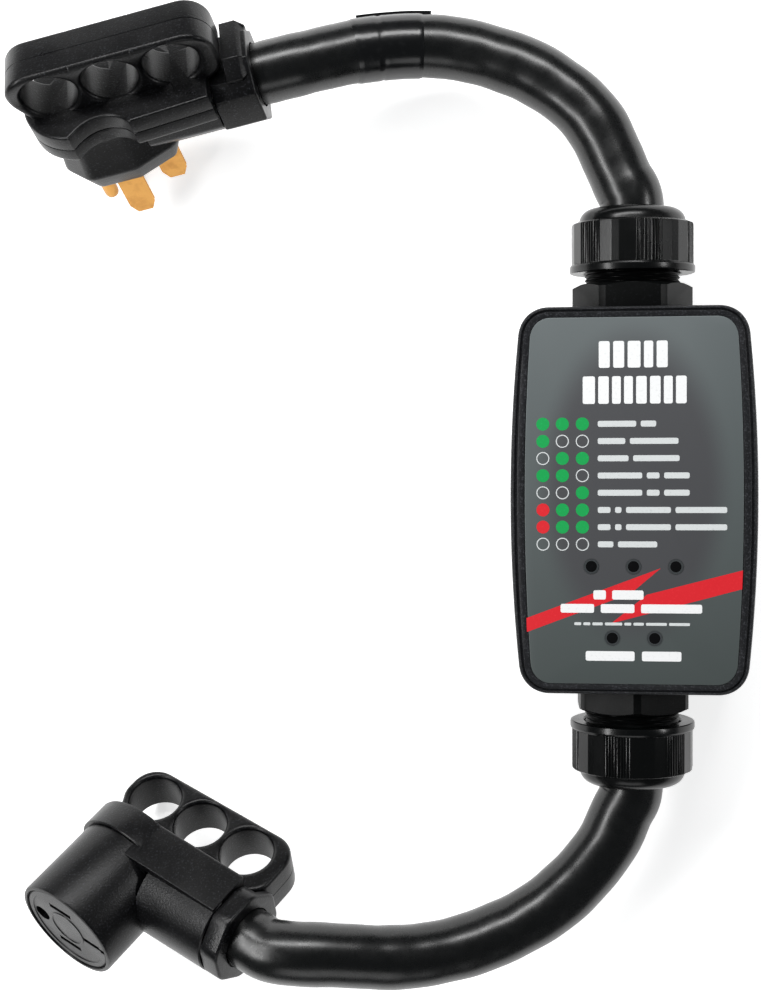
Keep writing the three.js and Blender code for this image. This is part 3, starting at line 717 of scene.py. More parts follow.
FINISHES = {
    "shell_plastic": Moulded("textured_abs", "#0a0b0c", "#202124", 0.36, 1.1, 0.05, 0.08, 1.5, 0.58, 0.25),
    "cover_rim": Moulded("rim_abs", "#1b1c1e", "#434448", 0.42, 0.7, 0.12, 0.08, 1.5, 0.52, 0.2),
    "overlay_sheet": PrintedSheet("printed_polycarbonate"),
    "rubber": Moulded("nitrile_rubber", "#111112", "#1c1c1d", 0.7, 1.0, 0.05),
    "steel": Metal("zinc_plated_steel", "#a9adb0", "#85898d", 0.35),
    "lens": Moulded("smoked_acrylic", "#050506", "#0b0b0d", 0.12, 2.0, 0.004, 0.02, 1.49),
    "circuit_board": Moulded("solder_mask", "#1f5a3a", "#2c7049", 0.4, 3.0, 0.02),
    "component_case": Moulded("epoxy_case", "#202428", "#33383d", 0.5, 1.0, 0.03),
    "varistor": Moulded("blue_epoxy_dip", "#24508a", "#3565a0", 0.35, 2.5, 0.05),
    "copper": Moulded("wire_jacket", "#5d3a2c", "#7c4c38", 0.45, 1.5, 0.02),
    "gland_nylon": Moulded("black_nylon", "#040505", "#101112", 0.24, 0.8, 0.012, 0.05, 1.53, 0.6, 0.3),
    "gland_body": Moulded("matt_nylon", "#060707", "#17181a", 0.42, 0.8, 0.03, 0.06, 1.53, 0.58, 0.12),
    "cord_jacket": CordJacket("flexible_pvc"),
    "tape": Moulded("pvc_tape", "#08090a", "#121314", 0.22, 3.0, 0.05, 0.05),
    "moulded_plug": Moulded("moulded_pvc", "#050506", "#2e2f33", 0.33, 0.85, 0.1, 0.07, 1.5, 0.57, 0.27),
    "brass": Metal("bright_brass", "#cf9a55", "#b98548", 0.36),
    "white_ink": Moulded("white_ink", "#f2f3f3", "#e2e4e4", 0.45, 1.2, 0.004, 0.03),
    "pale_ink": Moulded("pale_ink", "#d5d9d9", "#c6caca", 0.45, 1.2, 0.004, 0.03),
    "green_ink": Moulded("green_ink", "#0c9f4d", "#12ad58", 0.42, 1.2, 0.004, 0.03),
    "red_ink": Moulded("red_ink", "#d8202a", "#e32a33", 0.42, 1.2, 0.004, 0.03),
    "bezel": Moulded("bezel_grey", "#2f3335", "#3c4043", 0.5, 1.0, 0.02),
}


class Wardrobe:
    """Makes each finish's material once, and dresses pieces with it."""

    def __init__(self) -> None:
        """Starts with nothing made."""
        self.made: dict[str, bpy.types.Material] = {}

    def material(self, name: str) -> bpy.types.Material:
        """The material of a named finish."""
        if name not in self.made:
            self.made[name] = FINISHES[name].material()
        return self.made[name]

    def dress(self, piece: bpy.types.Object, name: str) -> None:
        """Gives a piece one finish all over."""
        piece.data.materials.clear()
        piece.data.materials.append(self.material(name))

    def dress_node(self, node: str, name: str) -> None:
        """Gives a frame node one finish, in the object's own slots."""
        piece = frame["nodes"][node]
        if not piece.material_slots:
            piece.data.materials.append(None)
        for slot in piece.material_slots:
            slot.link = "OBJECT"
            slot.material = self.material(name)


@dataclass
class Workshop:
    """What every sub-assembly needs to turn a shape into a dressed piece on its body."""

    wardrobe: Wardrobe
    body: str = "housing"

    def stand_for(self, node: str, piece: bpy.types.Object, finish: str, body: str | None = None,
                  slot: str | None = None) -> bpy.types.Object:
        """Dresses a piece, hides the node it stands for and lets it ride.

        Args:
            node: the frame node it replaces, or an empty text for print and trim.
            piece: the piece.
            finish: its finish's name.
            body: the body it rides on, if not the housing.
            slot: the record's material slot, if it isn't named as the finish; not used.

        Returns:
            The piece.
        """
        self.wardrobe.dress(piece, finish)
        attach(piece, body or self.body)
        if node:
            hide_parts(node)
        LOG.info("%s: %d faces, %s", piece.name, len(piece.data.polygons), finish)
        return piece


# ---- cords ------------------------------------------------------------------------------------
def catmull(points: np.ndarray, per_span: int) -> np.ndarray:
    """The smooth curve through points: on each span the cubic that leaves each point along the line
    between its two neighbours, (2p1 + (p2-p0)t + (2p0-5p1+4p2-p3)t^2 + (3p1-p0-3p2+p3)t^3) / 2."""
    padded = np.concatenate([2 * points[:1] - points[1:2], points, 2 * points[-1:] - points[-2:-1]])
    p0, p1, p2, p3 = (padded[i:len(padded) - 3 + i, None] for i in range(4))
    t = np.linspace(0, 1, per_span, endpoint=False)[None, :, None]
    curve = (2 * p1 + (p2 - p0) * t + (2 * p0 - 5 * p1 + 4 * p2 - p3) * t**2
             + (3 * p1 - p0 - 3 * p2 + p3) * t**3) / 2
    return np.concatenate([curve.reshape(-1, 3), points[-1:]])


def carried(path: np.ndarray, radius: np.ndarray, around: int = 48) -> Shape:
    """A round section carried along a path that keeps clear of the vertical.

    The section's two directions at a point are across = path x up and over = across x path, so a
    point is path + radius (cos a across + sin a over). Its map is the turn and the length run.
    """
    ahead = unit(np.gradient(path, axis=0))
    across = unit(np.cross(ahead, np.array([0.0, 0.0, 1.0])))
    over = np.cross(across, ahead)
    angle = np.linspace(0, 2 * math.pi, around, endpoint=False)
    ring = np.cos(angle)[None, :, None] * across[:, None] + np.sin(angle)[None, :, None] * over[:, None]
    shape = stacked(path[:, None] + ring * np.asarray(radius, float).reshape(-1, 1, 1))
    run = np.concatenate([[0], np.cumsum(np.linalg.norm(np.diff(path, axis=0), axis=1))]) * MM
    turn = np.abs(angle / math.pi - 1)
    shape.uv = np.stack(np.broadcast_arrays(turn[None, :], run[:, None]), axis=-1).reshape(-1, 2)
    return shape


@dataclass
class Cords:
    """The two cords and the tape band on the upper one."""

    shop: Workshop
    radius: float = 14.75
    exit: float = 136.0
    height: float = 44.0
    band_from: float = -98.5
    band_to: float = -132.0
    band_seam: float = -118.5
    band_around: int = 64
    lap_under: float = 0.6
    lap_over: float = 0.5
    seam_dip: float = 0.2
    flag_tall: float = 2.1
    flag_half: float = 0.55
    flag_shift: float = 4.5

    def cord(self, end: End, route: Sequence[Sequence[float]]) -> tuple[bpy.types.Object, np.ndarray]:
        """One cord, a little uneven along its length as an extruded jacket is."""
        path = catmull(np.array(route, float) / MM, 10)
        run = np.linspace(0, 1, len(path))
        swell = 0.12 * np.sin(run * 41 + end.value) + 0.08 * np.sin(run * 97 + 2 * end.value)
        name = f"{end.word}_cord_jacket"
        piece = make_piece(name, carried(path, self.radius + swell), Seat.upright(), 60)
        self.shop.stand_for(f"{end.word}_cord", piece, "cord_jacket")
        return piece, path

    def declare(self, end: End) -> None:
        """Works out where the cord leaves the box, and does nothing more with it."""
        exit_at = (0, end.value * self.exit * MM, self.height * MM)

    def band(self, path: np.ndarray) -> bpy.types.Object:
        """Two laps of tape round the cord, and its loose end standing up like a small flag."""
        inside = np.flatnonzero((path[:, 0] < self.band_from) & (path[:, 0] > self.band_to))
        line = path[inside]
        lap = np.where(line[:, 0] < self.band_seam, self.lap_under, self.lap_over)
        lap[np.abs(line[:, 0] - self.band_seam).argmin()] = self.seam_dip
        lap[[0, -1]] = 0.16
        grid = (len(line), self.band_around, 3)
        outer = carried(line, self.radius + lap, self.band_around).points.reshape(grid)
        inner = carried(line, np.full(len(line), self.radius + 0.15), self.band_around).points.reshape(grid)
        tape = stacked(np.concatenate([outer, inner[::-1]]), closed=True)
        ahead = unit(np.gradient(line, axis=0))
        outward = unit(np.cross(np.cross(ahead, np.array([0, 1.0, 0])), ahead))
        foot = line + outward * (self.radius - 0.2) - ahead * self.flag_shift
        tall, thick = outward * self.flag_tall, np.array([0, 0, self.flag_half])
        corners = [foot + thick, foot + tall + thick, foot + tall - thick, foot - thick]
        flag = stacked(np.stack(corners, axis=1))
        return self.shop.stand_for("cord_band", make_piece("tape_band", tape + flag, Seat.upright(), 40),
                                   "tape", slot="cord_jacket")


# ---- housing ----------------------------------------------------------------------------------
@dataclass(frozen=True)
class Bow:
    """A plate outline with bowed sides, straight ends and round corners."""

    width: float
    waist: float
    length: float
    side_end: float

    def outline(self, inset: float = 0.0) -> np.ndarray:
        """The outline's points: eight curved or straight stretches, anticlockwise."""
        x, y = self.waist / 2 - inset, self.length / 2 - inset
        bow, side = self.width - self.waist + x, self.side_end - inset / 3
        rise = y - side
        end = x - rise
        right = bezier(26, (x, -side), (bow, 0), (x, side))
        turn = bezier(18, (x, side), (x - 0.6, side + 0.6 * rise), (end + 0.55 * rise, y - 0.3), (end, y))
        top = bezier(20, (end, y), (-end, y))
        back = bezier(18, (-end, y), (-end - 0.55 * rise, y - 0.3), (-x + 0.6, side + 0.6 * rise), (-x, side))
        half = np.concatenate([right, turn, top, back])
        return np.concatenate([half, -half])


@dataclass
class Housing:
    """The box: back shell, front cover with its stepped rim, printed sheet, lamps and the print."""

    shop: Workshop
    box: Bow = Bow(111.2, 104.0, 176.0, 74.5)
    sheet: Bow = Bow(98.0, 93.0, 166.0, 74.0)
    wall: float = 3.0
    seam: float = 68.0
    gap: float = 1.8
    top: float = 83.6
    sheet_top: float = 84.0
    post: tuple[float, float] = (43.0, 79.0)
    post_radius: float = 5.5
    screw_hole: float = 2.3
    gland_height: float = 44.0
    gland_hole: float = 20.9
    lamps: tuple[tuple[float, float], ...] = (
        (-18.9, -29.5), (0, -29.5), (18.9, -29.5), (-9.5, -62), (9.5, -62))
    spot: float = 2.95
    ink_top: float = 0.05
    seat: Seat = field(default_factory=Seat.upright)

    def rings(self, steps: Sequence[tuple[float, float]], inner: Sequence[tuple[float, float]]) -> Shape:
        """A skin from the inside out over the wall.

        Args:
            steps: shares of the way in from the box's outline to the sheet's, each with its height.
            inner: insets from the box's outline, each with its height. These rings come first.

        Returns:
            The closed skin through the rings.
        """
        outer, sheet = self.box.outline(), self.sheet.outline(0.5)
        rows = [(self.box.outline(inset), z) for inset, z in inner]
        rows += [(outer * (1 - share) + sheet * share, z) for share, z in steps]
        rings = [np.column_stack([flat, np.full(len(flat), z)]) for flat, z in rows]
        return stacked(np.array(rings))

    def posts(self, radius: float, low: float, high: float) -> list[Shape]:
        """A round bar at each of the four screw posts."""
        x, y = self.post
        return [disc(radius, low, high, 32).moved(sx * x, sy * y, 0) for sx in (-1, 1) for sy in (-1, 1)]

    def back_shell(self) -> None:
        """The back shell: a tray with a rounded back edge, four screw posts and two gland holes."""
        turn = np.linspace(0, math.pi / 2, 6)
        edge = [(3 * (1 - math.cos(a)), 3 * (1 - math.sin(a))) for a in turn]
        inner = [(self.wall, self.wall), (self.wall, self.seam), (0.4, self.seam), (0, self.seam - 0.4)]
        piece = make_piece("back_shell_tray", self.rings([], [*inner, *edge]), self.seat)
        worked(piece, "UNION", *self.posts(self.post_radius, 1.5, self.seam), seat=self.seat)
        hole = turned([(self.gland_hole, -100), (self.gland_hole, 100)], 64)
        along = Shape(hole.points[:, [0, 2, 1]] + np.array([0, 0, self.gland_height]), hole.faces)
        worked(piece, "DIFFERENCE", *self.posts(4.6, -1, 52), *self.posts(self.screw_hole, 50, 70),
               along, seat=self.seat)
        self.shop.stand_for("back_shell", piece, "shell_plastic")

    def front_cover(self) -> None:
        """The front cover: a rim of a fine bead, a groove and a textured band round a recess."""
        low = self.seam + self.gap
        inner = [(self.wall, 79.6), (self.wall, low), (0.3, low), (0, low + 0.3)]
        steps = [(0, 80.9), (0.025, 81.8), (0.07, 82.5), (0.13, 82.9), (0.19, 83.05), (0.25, 82.95),
                 (0.285, 82.6), (0.295, 81.9), (0.4, 81.9), (0.41, 82.9), (0.44, 83.4), (0.49, 83.6),
                 (0.86, 83.6), (0.89, 83.5), (0.905, 83.2), (0.91, 82.4)]
        piece = make_piece("front_cover_frame", self.rings(steps, inner), self.seat)
        lamps = [disc(3.7, 70, 90, 40).moved(x, y, 0) for x, y in self.lamps]
        worked(piece, "UNION", *self.posts(self.post_radius, low, 81), seat=self.seat)
        worked(piece, "DIFFERENCE", *lamps, *self.posts(self.screw_hole, low - 1, 79), seat=self.seat)
        self.shop.stand_for("front_cover", piece, "cover_rim", slot="shell_plastic")

    def overlay(self) -> None:
        """The printed sheet, with its five windows."""
        edge = soft_edges(82.8, self.sheet_top, 0.05, 0.35)
        piece = make_piece("printed_sheet", moulding(self.sheet.outline(), edge), self.seat)
        lamps = [disc(3.45, 80, 90, 48).moved(x, y, 0) for x, y in self.lamps]
        worked(piece, "DIFFERENCE", *lamps, seat=self.seat)
        self.shop.stand_for("overlay_sheet", piece, "overlay_sheet")

    def lamp(self, number: int, x: float, y: float) -> None:
        """One lamp lens: a smoked window sunk a little below its rim."""
        profile = [(0.4, 76), (5, 76), (5, 79.2), (3.35, 79.2), (3.35, 83.9), (3.1, 84.25), (2.8, 84.25),
                   (2.6, 83.9), (2.0, 84.0), (1.2, 84.15), (0.4, 84.2)]
        piece = make_piece(f"lamp_window_{number}", turned(profile, 48).moved(x, y, 0), self.seat)
        self.shop.stand_for(f"indicator_lens_{number}", piece, "lens")

    def slab(self, outline: np.ndarray, lift: float = 0.0) -> Shape:
        """A film of ink on the sheet, in the outline given."""
        return moulding(outline, [(0, self.sheet_top - 0.03), (0, self.sheet_top + self.ink_top + lift)])

    def bar(self, x0: float, x1: float, y: float, height: float) -> Shape:
        """A printed bar with round ends, from one x to the other."""
        half = height / 2
        soft = min(half * 0.6, (x1 - x0) * 0.3, 0.8)
        corners = [(x0, y - half, soft), (x1, y - half, soft), (x1, y + half, soft), (x0, y + half, soft)]
        return self.slab(rounded(corners, 4), 0.02)

    def words(self, x0: float, x1: float, y: float, height: float, shares: Sequence[float]) -> list[Shape]:
        """A line of print as plain bars.

        Args:
            x0: the line's start.
            x1: the line's end.
            y: the line's middle.
            height: the bars' height.
            shares: each bar's share of the line's length.

        Returns:
            One bar for each share.
        """
        gap = min(height * 0.75, (x1 - x0) * 0.25 / len(shares))
        room = (x1 - x0) - gap * (len(shares) - 1)
        widths = [share / sum(shares) * room for share in shares]
        starts = [x0 + sum(widths[:i]) + gap * i for i in range(len(widths))]
        return [self.bar(start, start + width, y, height) for start, width in zip(starts, widths)]

    def ring(self, x: float, y: float, outer: float, inner: float) -> Shape:
        """A printed ring."""
        low, high = self.sheet_top - 0.03, self.sheet_top + self.ink_top
        section = [(outer, low), (outer, high), (inner, high), (inner, low)]
        return turned(section, 36, closed=True).moved(x, y, 0)

    def print(self) -> None:
        """The print: a table of lamp patterns, bars in place of words, and two tapered stripes."""
        table = ("GGG", "G..", ".GG", "GG.", "..G", "RGG", "RGG", "...")
        ends = (10.1, 20, 20.5, 25, 25, 41.6, 41.6, 10.6)
        shares = ((5, 2), (4, 7), (4, 6), (7, 2, 4), (7, 2, 4), (2, 1, 7, 8), (2, 1, 7, 8), (2, 5))
        columns, first, pitch = (-40.7, -31.9, -22.9), 35.0, 7.78
        inks: dict[str, list[Shape]] = {"white_ink": [], "pale_ink": [], "green_ink": [], "red_ink": []}
        round_spot = rounded([(-1, -1, 1), (1, -1, 1), (1, 1, 1), (-1, 1, 1)], 9)
        for row, (marks, end, share) in enumerate(zip(table, ends, shares)):
            y = first - row * pitch
            for x, mark in zip(columns, marks):
                if mark == ".":
                    inks["pale_ink"].append(self.ring(x, y, self.spot, 2.5))
                else:
                    ink = "green_ink" if mark == "G" else "red_ink"
                    inks[ink].append(self.slab(round_spot * self.spot + np.array([x, y]), 0.01))
            inks["pale_ink"] += self.words(-16, end, y, 2.7, share)
        inks["white_ink"] += self.words(-15.5, 15.2, 66.2, 12.0, (6, 6, 7, 5, 6))
        inks["white_ink"] += self.words(-22.7, 23.6, 50.2, 12.4, (7, 6, 5, 5, 6, 6, 5, 6))
        inks["white_ink"] += self.words(-18, 4.5, -42.4, 4.2, (2, 5))
        inks["white_ink"] += self.words(-32.8, 30.6, -48.6, 4.0, (5, 5, 9))
        inks["pale_ink"] += self.words(-26.6, 25.2, -55.6, 1.3, (2, 2, 3, 5, 2, 3, 6, 6))
        inks["white_ink"] += self.words(-21.5, 21.4, -70.2, 4.4, (5, 4))
        stripes = ([(-48.1, -59.6), (-1, -41.6), (12.2, -30.2), (-48.3, -53.2)],
                   [(48.3, -39.5), (48.6, -31), (6, -42.2), (-10, -55.4)])
        for stripe in stripes:
            inks["red_ink"].append(self.slab(np.array(stripe, float), -0.01))
        inks["bezel"] = [self.ring(x, y, 3.4, 2.5).moved(0, 0, 0.27) for x, y in self.lamps]
        for ink, shapes in inks.items():
            piece = make_piece(f"print_{ink}", joined(shapes), self.seat)
            self.shop.stand_for("", piece, ink, slot="overlay_sheet")

    def build(self) -> None:
        """Makes every piece of the box."""
        self.back_shell()
        self.front_cover()
        self.overlay()
        for number, (x, y) in enumerate(self.lamps, 1):
            self.lamp(number, x, y)
        self.print()


# ---- glands -----------------------------------------------------------------------------------
@dataclass
class Gland:
    """A cable gland: a body with a hexagon and a threaded stub, and a ribbed dome nut."""

    shop: Workshop
    end: End
    corner: float = 28.5
    hex_end: float = 12.2
    thread: float = 22.3
    thread_end: float = 30.0
    pitch: float = 1.9
    bore: float = 15.8
    nut_start: float = 17.4
    flange: float = 29.3
    flange_end: float = 21.4
    body_end: float = 41.4
    rib_span: float = 25.0
    rib_first: float = 32.2
    rib_low: float = 27.75
    rib_tall: float = 0.75
    rib_count: float = 8.5
    flat_corner: float = 28.3
    corner_cut: float = 3.6
    lower_turn: float = 26.0

    def body(self) -> None:
        """The hexagon with flattened corners, the threaded stub and the tail through the box's wall.

        The stub's radius at angle a and height z is the thread's, less a triangle wave of
        z / pitch - a / 2 pi, so its ridge is one true helix.
        """
        seat = Seat.of_gland(self.end)
        cut, reach_out = math.radians(self.corner_cut), self.corner * 0.985
        turned_by = self.lower_turn if self.end is End.LOWER else 0.0
        angles = np.radians(np.arange(0, 360, 60) + turned_by)[:, None] + np.array([[-cut, cut]])
        flat = np.stack([np.cos(angles), np.sin(angles)], axis=-1).reshape(-1, 2) * reach_out
        outline = rounded([(x, y, 0.7) for x, y in flat], 3)
        edge = soft_edges(0.3, self.hex_end, 0.5, 0.4)
        piece = make_piece(f"{self.end.word}_gland_hexagon", moulding(outline, edge), seat, 25)
        reach_in = self.corner * math.cos(math.pi / 6)
        chamfer = turned([(reach_in + 1.5, -1), (self.corner + 1, 1.2), (self.corner + 1, self.hex_end - 2.4),
                          (reach_in - 0.4, self.hex_end + 0.2)], 96)
        worked(piece, "INTERSECT", chamfer, seat=seat, sharp=25)
        heights = np.linspace(self.hex_end - 1, self.thread_end, 92)[:, None]
        turn = np.linspace(0, 2 * math.pi, 96, endpoint=False)[None, :]
        wave = np.abs(((heights / self.pitch - turn / (2 * math.pi)) % 1) * 2 - 1)
        fade = np.clip((self.thread_end - heights) / 1.5, 0, 1) * 0.6 + 0.4
        radius = self.thread - 1.0 + 1.0 * wave * fade
        stub = stacked(np.stack([radius * np.cos(turn), radius * np.sin(turn), heights + 0 * turn], axis=-1))
        tail = disc(20.4, -16, 1, 64)
        worked(piece, "UNION", stub, tail, seat=seat, sharp=25)
        seat_bore = disc(17.8, 28, 31, 64)
        worked(piece, "DIFFERENCE", disc(self.bore, -20, 60, 64), seat_bore, seat=seat, sharp=25)
        self.shop.stand_for(f"{self.end.word}_gland_body", piece, "gland_body", slot="gland_nylon")

    def nut(self) -> None:
        """The dome nut. Round its body, six groups of fine ribs alternate with three flats.

        Within each sixth of a turn the radius at angle a is rib_low + rib_tall |cos|^0.6 over the rib
        span, and chord / cos(a - the flat's middle) over each flat. A share at each height fades this
        into the round flange below and the dome above.
        """
        seat = Seat.of_gland(self.end)
        turn = np.linspace(0, 2 * math.pi, 720, endpoint=False)
        facing = (np.degrees(turn) - 90 + self.rib_first + self.rib_span) % 60
        wave = np.abs(np.cos(facing / self.rib_span * math.pi * self.rib_count))
        ribs = self.rib_low + self.rib_tall * wave ** 0.6
        edges = np.array([self.rib_span, 36.7, 44.3, 60.0])
        which = np.clip(np.searchsorted(edges, facing, side="right") - 1, 0, 2)
        middle, half = (edges[which] + edges[which + 1]) / 2, (edges[which + 1] - edges[which]) / 2
        flats = self.flat_corner * np.cos(np.radians(half)) / np.cos(np.radians(facing - middle))
        side = np.where(facing < self.rib_span, ribs, flats)
        outer = [(self.nut_start, self.flange - 0.9, 0), (self.nut_start + 0.3, self.flange - 0.2, 0),
                 (self.nut_start + 1.0, self.flange, 0), (self.flange_end - 1.0, self.flange, 0),
                 (self.flange_end - 0.3, self.flange - 0.3, 0), (self.flange_end, self.flange - 0.9, 0),
                 (self.flange_end + 0.25, 28.2, 1), (self.body_end - 2.2, 28.2, 1),
                 (self.body_end - 1.0, 27.6, 0.85), (self.body_end - 0.2, 26.3, 0.2),
                 (self.body_end + 0.1, 24.9, 0)]
        sweep = np.linspace(0, math.pi / 2, 12)
        dome = [(41.5 + 6.3 * math.sin(a), 17.9 + 6.9 * math.cos(a), 0) for a in sweep[1:]]
        inner = [(48, 17.2, 0), (47.6, 16.4, 0), (43.4, 16.2, 0), (42, 21.3, 0), (31, 21.3, 0),
                 (30.3, 22.8, 0), (self.nut_start + 0.6, 22.8, 0), (self.nut_start, 23.4, 0)]
        table = np.array([*outer, *dome, *inner])
        height, plain, share = table[:, :1], table[:, 1:2], table[:, 2:]
        radius = plain * (1 - share) + np.minimum(side, plain + 1.0) * share
        rings = np.stack([radius * np.cos(turn), radius * np.sin(turn), height + 0 * radius], axis=-1)
        piece = make_piece(f"{self.end.word}_ribbed_nut", stacked(rings, closed=True), seat, 22)
        self.shop.stand_for(f"{self.end.word}_dome_nut", piece, "gland_nylon", f"{self.end.word}_nut")

    def build(self) -> None:
        """Makes the gland's outer pieces."""
        self.body()
        self.nut()


# ---- the plug and the connector ---------------------------------------------------------------
@dataclass(frozen=True)
class Grip:
    """The upright grip with three finger holes that the plug and the connector share."""

    left: float
    bottom: float
    right: float = 51.5
    top: float = 16.0
    pitch: float = 29.8
    hole: float = 13.2
    half: float = 11.3
    flare: float = 0.0

    def shape(self) -> Shape:
        """The grip as a pierced plate."""
        low = self.bottom
        corners = [(self.left + 8, low, 0.5), (self.right - 7, low, 0.5), (self.right, low + 6, 9),
                   (self.right, self.top, 13), (self.left - 0.5, self.top, 13),
                   (self.left - 0.5, low + 15, 12)]
        centres = (-self.pitch, 0.0, self.pitch)
        return PiercedPlate(rounded(corners, 12), centres, self.hole, self.half, flare=self.flare).shape()


def cap_outline(far: float, radius: float, neck: float, end: float) -> np.ndarray:
    """A cap's flat outline: a half circle at its far end, narrowing to its neck at the cord."""
    turn = np.linspace(math.pi / 2, 3 * math.pi / 2, 40)
    arc = np.stack([far + radius * np.cos(turn), radius * np.sin(turn)], axis=1)
    lower = np.linspace(arc[-1], (end, -neck), 42)[1:]
    upper = np.linspace((end, neck), arc[0], 42)[:-1]
    return np.concatenate([upper, arc, lower])


@dataclass
class PlugEnd:
    """The right-angle plug: grip and cap in one, base, collar, blades and pin."""

    shop: Workshop
    seat: Seat = field(default_factory=lambda: Seat.of_face(
        "plug_face", "line_blade_1", "line_blade_2", (-12, 0, -60)))
    far: float = -19.0
    radius: float = 29.2
    neck: float = 25.2
    end: float = 42.7
    grip_bottom: float = -12.6
    parting: float = -20.8
    face: float = -60.0
    collar_end: float = 63.5
    cord_z: float = -31.0
    mouth_half: float = 15.4
    mouth_deep: float = 1.8
    blade_x: float = -13.4
    blade_y: float = 13.2
    neutral_x: float = 5.5
    pin_x: float = -29.5
    line_tip: float = -85.6
    neutral_tip: float = -81.5
    blade_half: float = 6.2
    bite_x: float = -10.7
    bite_y: float = 36.8
    bite: float = 17.0

    def piece(self, node: str, name: str, shape: Shape, finish: str = "moulded_plug",
              joins: Sequence[Shape] = (), cuts: Sequence[Shape] = ()) -> bpy.types.Object:
        """Makes, joins, cuts and dresses one piece of the plug."""
        made = make_piece(name, shape, self.seat)
        worked(made, "UNION", *joins, seat=self.seat)
        worked(made, "DIFFERENCE", *cuts, seat=self.seat)
        return self.shop.stand_for(node, made, finish)

    def bitten_outline(self) -> np.ndarray:
        """The cap's outline with a thumb scallop in each side.

        A scallop limits the outline's half width to bite_y - sqrt(bite^2 - (x - bite_x)^2).
        """
        outline = cap_outline(self.far, self.radius, self.neck, self.end)
        from_middle = np.clip(outline[:, 0] - self.bite_x, -self.bite, self.bite)
        limit = self.bite_y - np.sqrt(self.bite**2 - from_middle**2)
        bitten = np.sign(outline[:, 1]) * np.minimum(np.abs(outline[:, 1]), limit)
        return np.column_stack([outline[:, 0], bitten])

    def handle(self) -> bpy.types.Object:
        """The cap with a thumb scallop on each side, and the grip on it."""
        outline = self.bitten_outline()
        edge = soft_edges(self.parting, self.grip_bottom, 0.3, 1.3)
        grip = Grip(-49.0, self.grip_bottom - 3.4, flare=3.2)
        return self.piece("plug_handle", "plug_grip_and_cap", moulding(outline, edge), joins=[grip.shape()])

    def base(self) -> bpy.types.Object:
        """The base under the cap: a flange, the narrower face block and the sleeve for the cord."""
        top = self.parting - 0.3
        flange = moulding(self.bitten_outline(), soft_edges(top - 8, top, 2.2, 0.5))
        block = rounded([(-37, -8, 4), (-27, -18, 4), (-6, -18, 5), (13, -9, 4), (13, 9, 4), (-6, 18, 5),
                         (-27, 18, 4), (-37, 8, 4)])
        face = moulding(block, [(1.4, self.face), (0.5, self.face + 0.5), (0, self.face + 1.4),
                                (-4.2, -49.6), (-4.5, -48.7), (-4.3, -47.6), (-2, -30), (-2, top - 1)])
        low, waist = -51.0, -37.0
        section = rounded([(-9, low, 4), (9, low, 4), (22, waist, 4), (22, top - 1.5, 0.4),
                           (-22, top - 1.5, 0.4), (-22, waist, 4)])
        sleeve = moulding(section, soft_edges(6, self.end, 0.4, 0.8), Axis.X)
        holes = [box_between((x - 6.5, y - 1.25, self.face - 2), (x + 6.5, y + 1.25, self.face + 8))
                 for x, y in ((self.blade_x, self.blade_y), (self.blade_x, -self.blade_y),
                              (self.neutral_x, 0))]
        pin = disc(3.9, self.face - 2, self.face + 8, 32).moved(self.pin_x, 0, 0)
        return self.piece("plug_base", "plug_face_block", flange, joins=[face, sleeve], cuts=[*holes, pin])

    def octagon(self, radius: float, soft: float, steps: int) -> np.ndarray:
        """An eight-sided outline round the cord, by its corners' radius and their softness."""
        turn = np.radians(22.5 + 45 * np.arange(8))
        corners = [(radius * math.cos(a), self.cord_z + radius * math.sin(a), soft) for a in turn]
        return rounded(corners, steps)

    def mouth(self) -> Shape:
        """The round recess that the cord goes into at the collar's end, as a cutter."""
        half, soft = self.mouth_half, self.mouth_half - 0.1
        around = [(sx * half, self.cord_z + sz * half, soft)
                  for sx, sz in ((-1, -1), (1, -1), (1, 1), (-1, 1))]
        return moulding(rounded(around, 16), [(0, self.collar_end - self.mouth_deep), (0, 80)], Axis.X)

    def collar(self) -> bpy.types.Object:
        """The eight-sided collar behind the cap, raised behind the grip, with a mouth for the cord."""
        edge = soft_edges(self.end + 0.3, self.collar_end, 0.5, 1.0)
        low = moulding(self.octagon(23.0, 1.6, 4), edge, Axis.X)
        raised = rounded([(-12.5, -30, 1), (12.5, -30, 1), (18, -13, 1), (15, -8, 1),
                          (-9, -8, 1), (-17, -15, 1)], 4)
        back = moulding(raised, [(0, 51.85), (0, 59), (0.2, 59.6), (3.6, self.collar_end - 0.2)], Axis.X)
        room = box_between((40, -40, -16.3), (51.8, 40, 40))
        return self.piece("plug_collar", "plug_cord_collar", low, joins=[back], cuts=[room, self.mouth()])

    def blade(self, node: str, x: float, y: float, tip: float) -> bpy.types.Object:
        """A flat blade with its end nipped in and its edges broken.

        Args:
            node: the blade's node.
            x: its middle along the plug.
            y: its middle across the plug.
            tip: the height of its tip.

        Returns:
            The dressed blade.
        """
        root, half = self.face + 7.5, self.blade_half
        outline = rounded([(-half, root, 0.2), (-half, tip + 5, 0.4), (-half + 2.6, tip, 0.3),
                           (half - 2.6, tip, 0.3), (half, tip + 5, 0.4), (half, root, 0.2)], 4)[::-1]
        shape = moulding(outline, soft_edges(-0.95, 0.95, 0.3, 0.3), Axis.Y).moved(x, y, 0)
        return self.piece(node, f"{node}_strip", shape, "brass")

    def pin(self) -> bpy.types.Object:
        """The round ground pin with a blunt rounded tip."""
        root = self.face + 7.5
        profile = [(0.2, -84), (2.0, -83.8), (3.0, -83), (3.45, -81.8), (3.6, -80.4), (3.6, root),
                   (0.2, root)]
        bar = turned(profile, 40).moved(self.pin_x, 0, 0)
        return self.piece("ground_pin", "ground_pin_bar", bar, "brass")

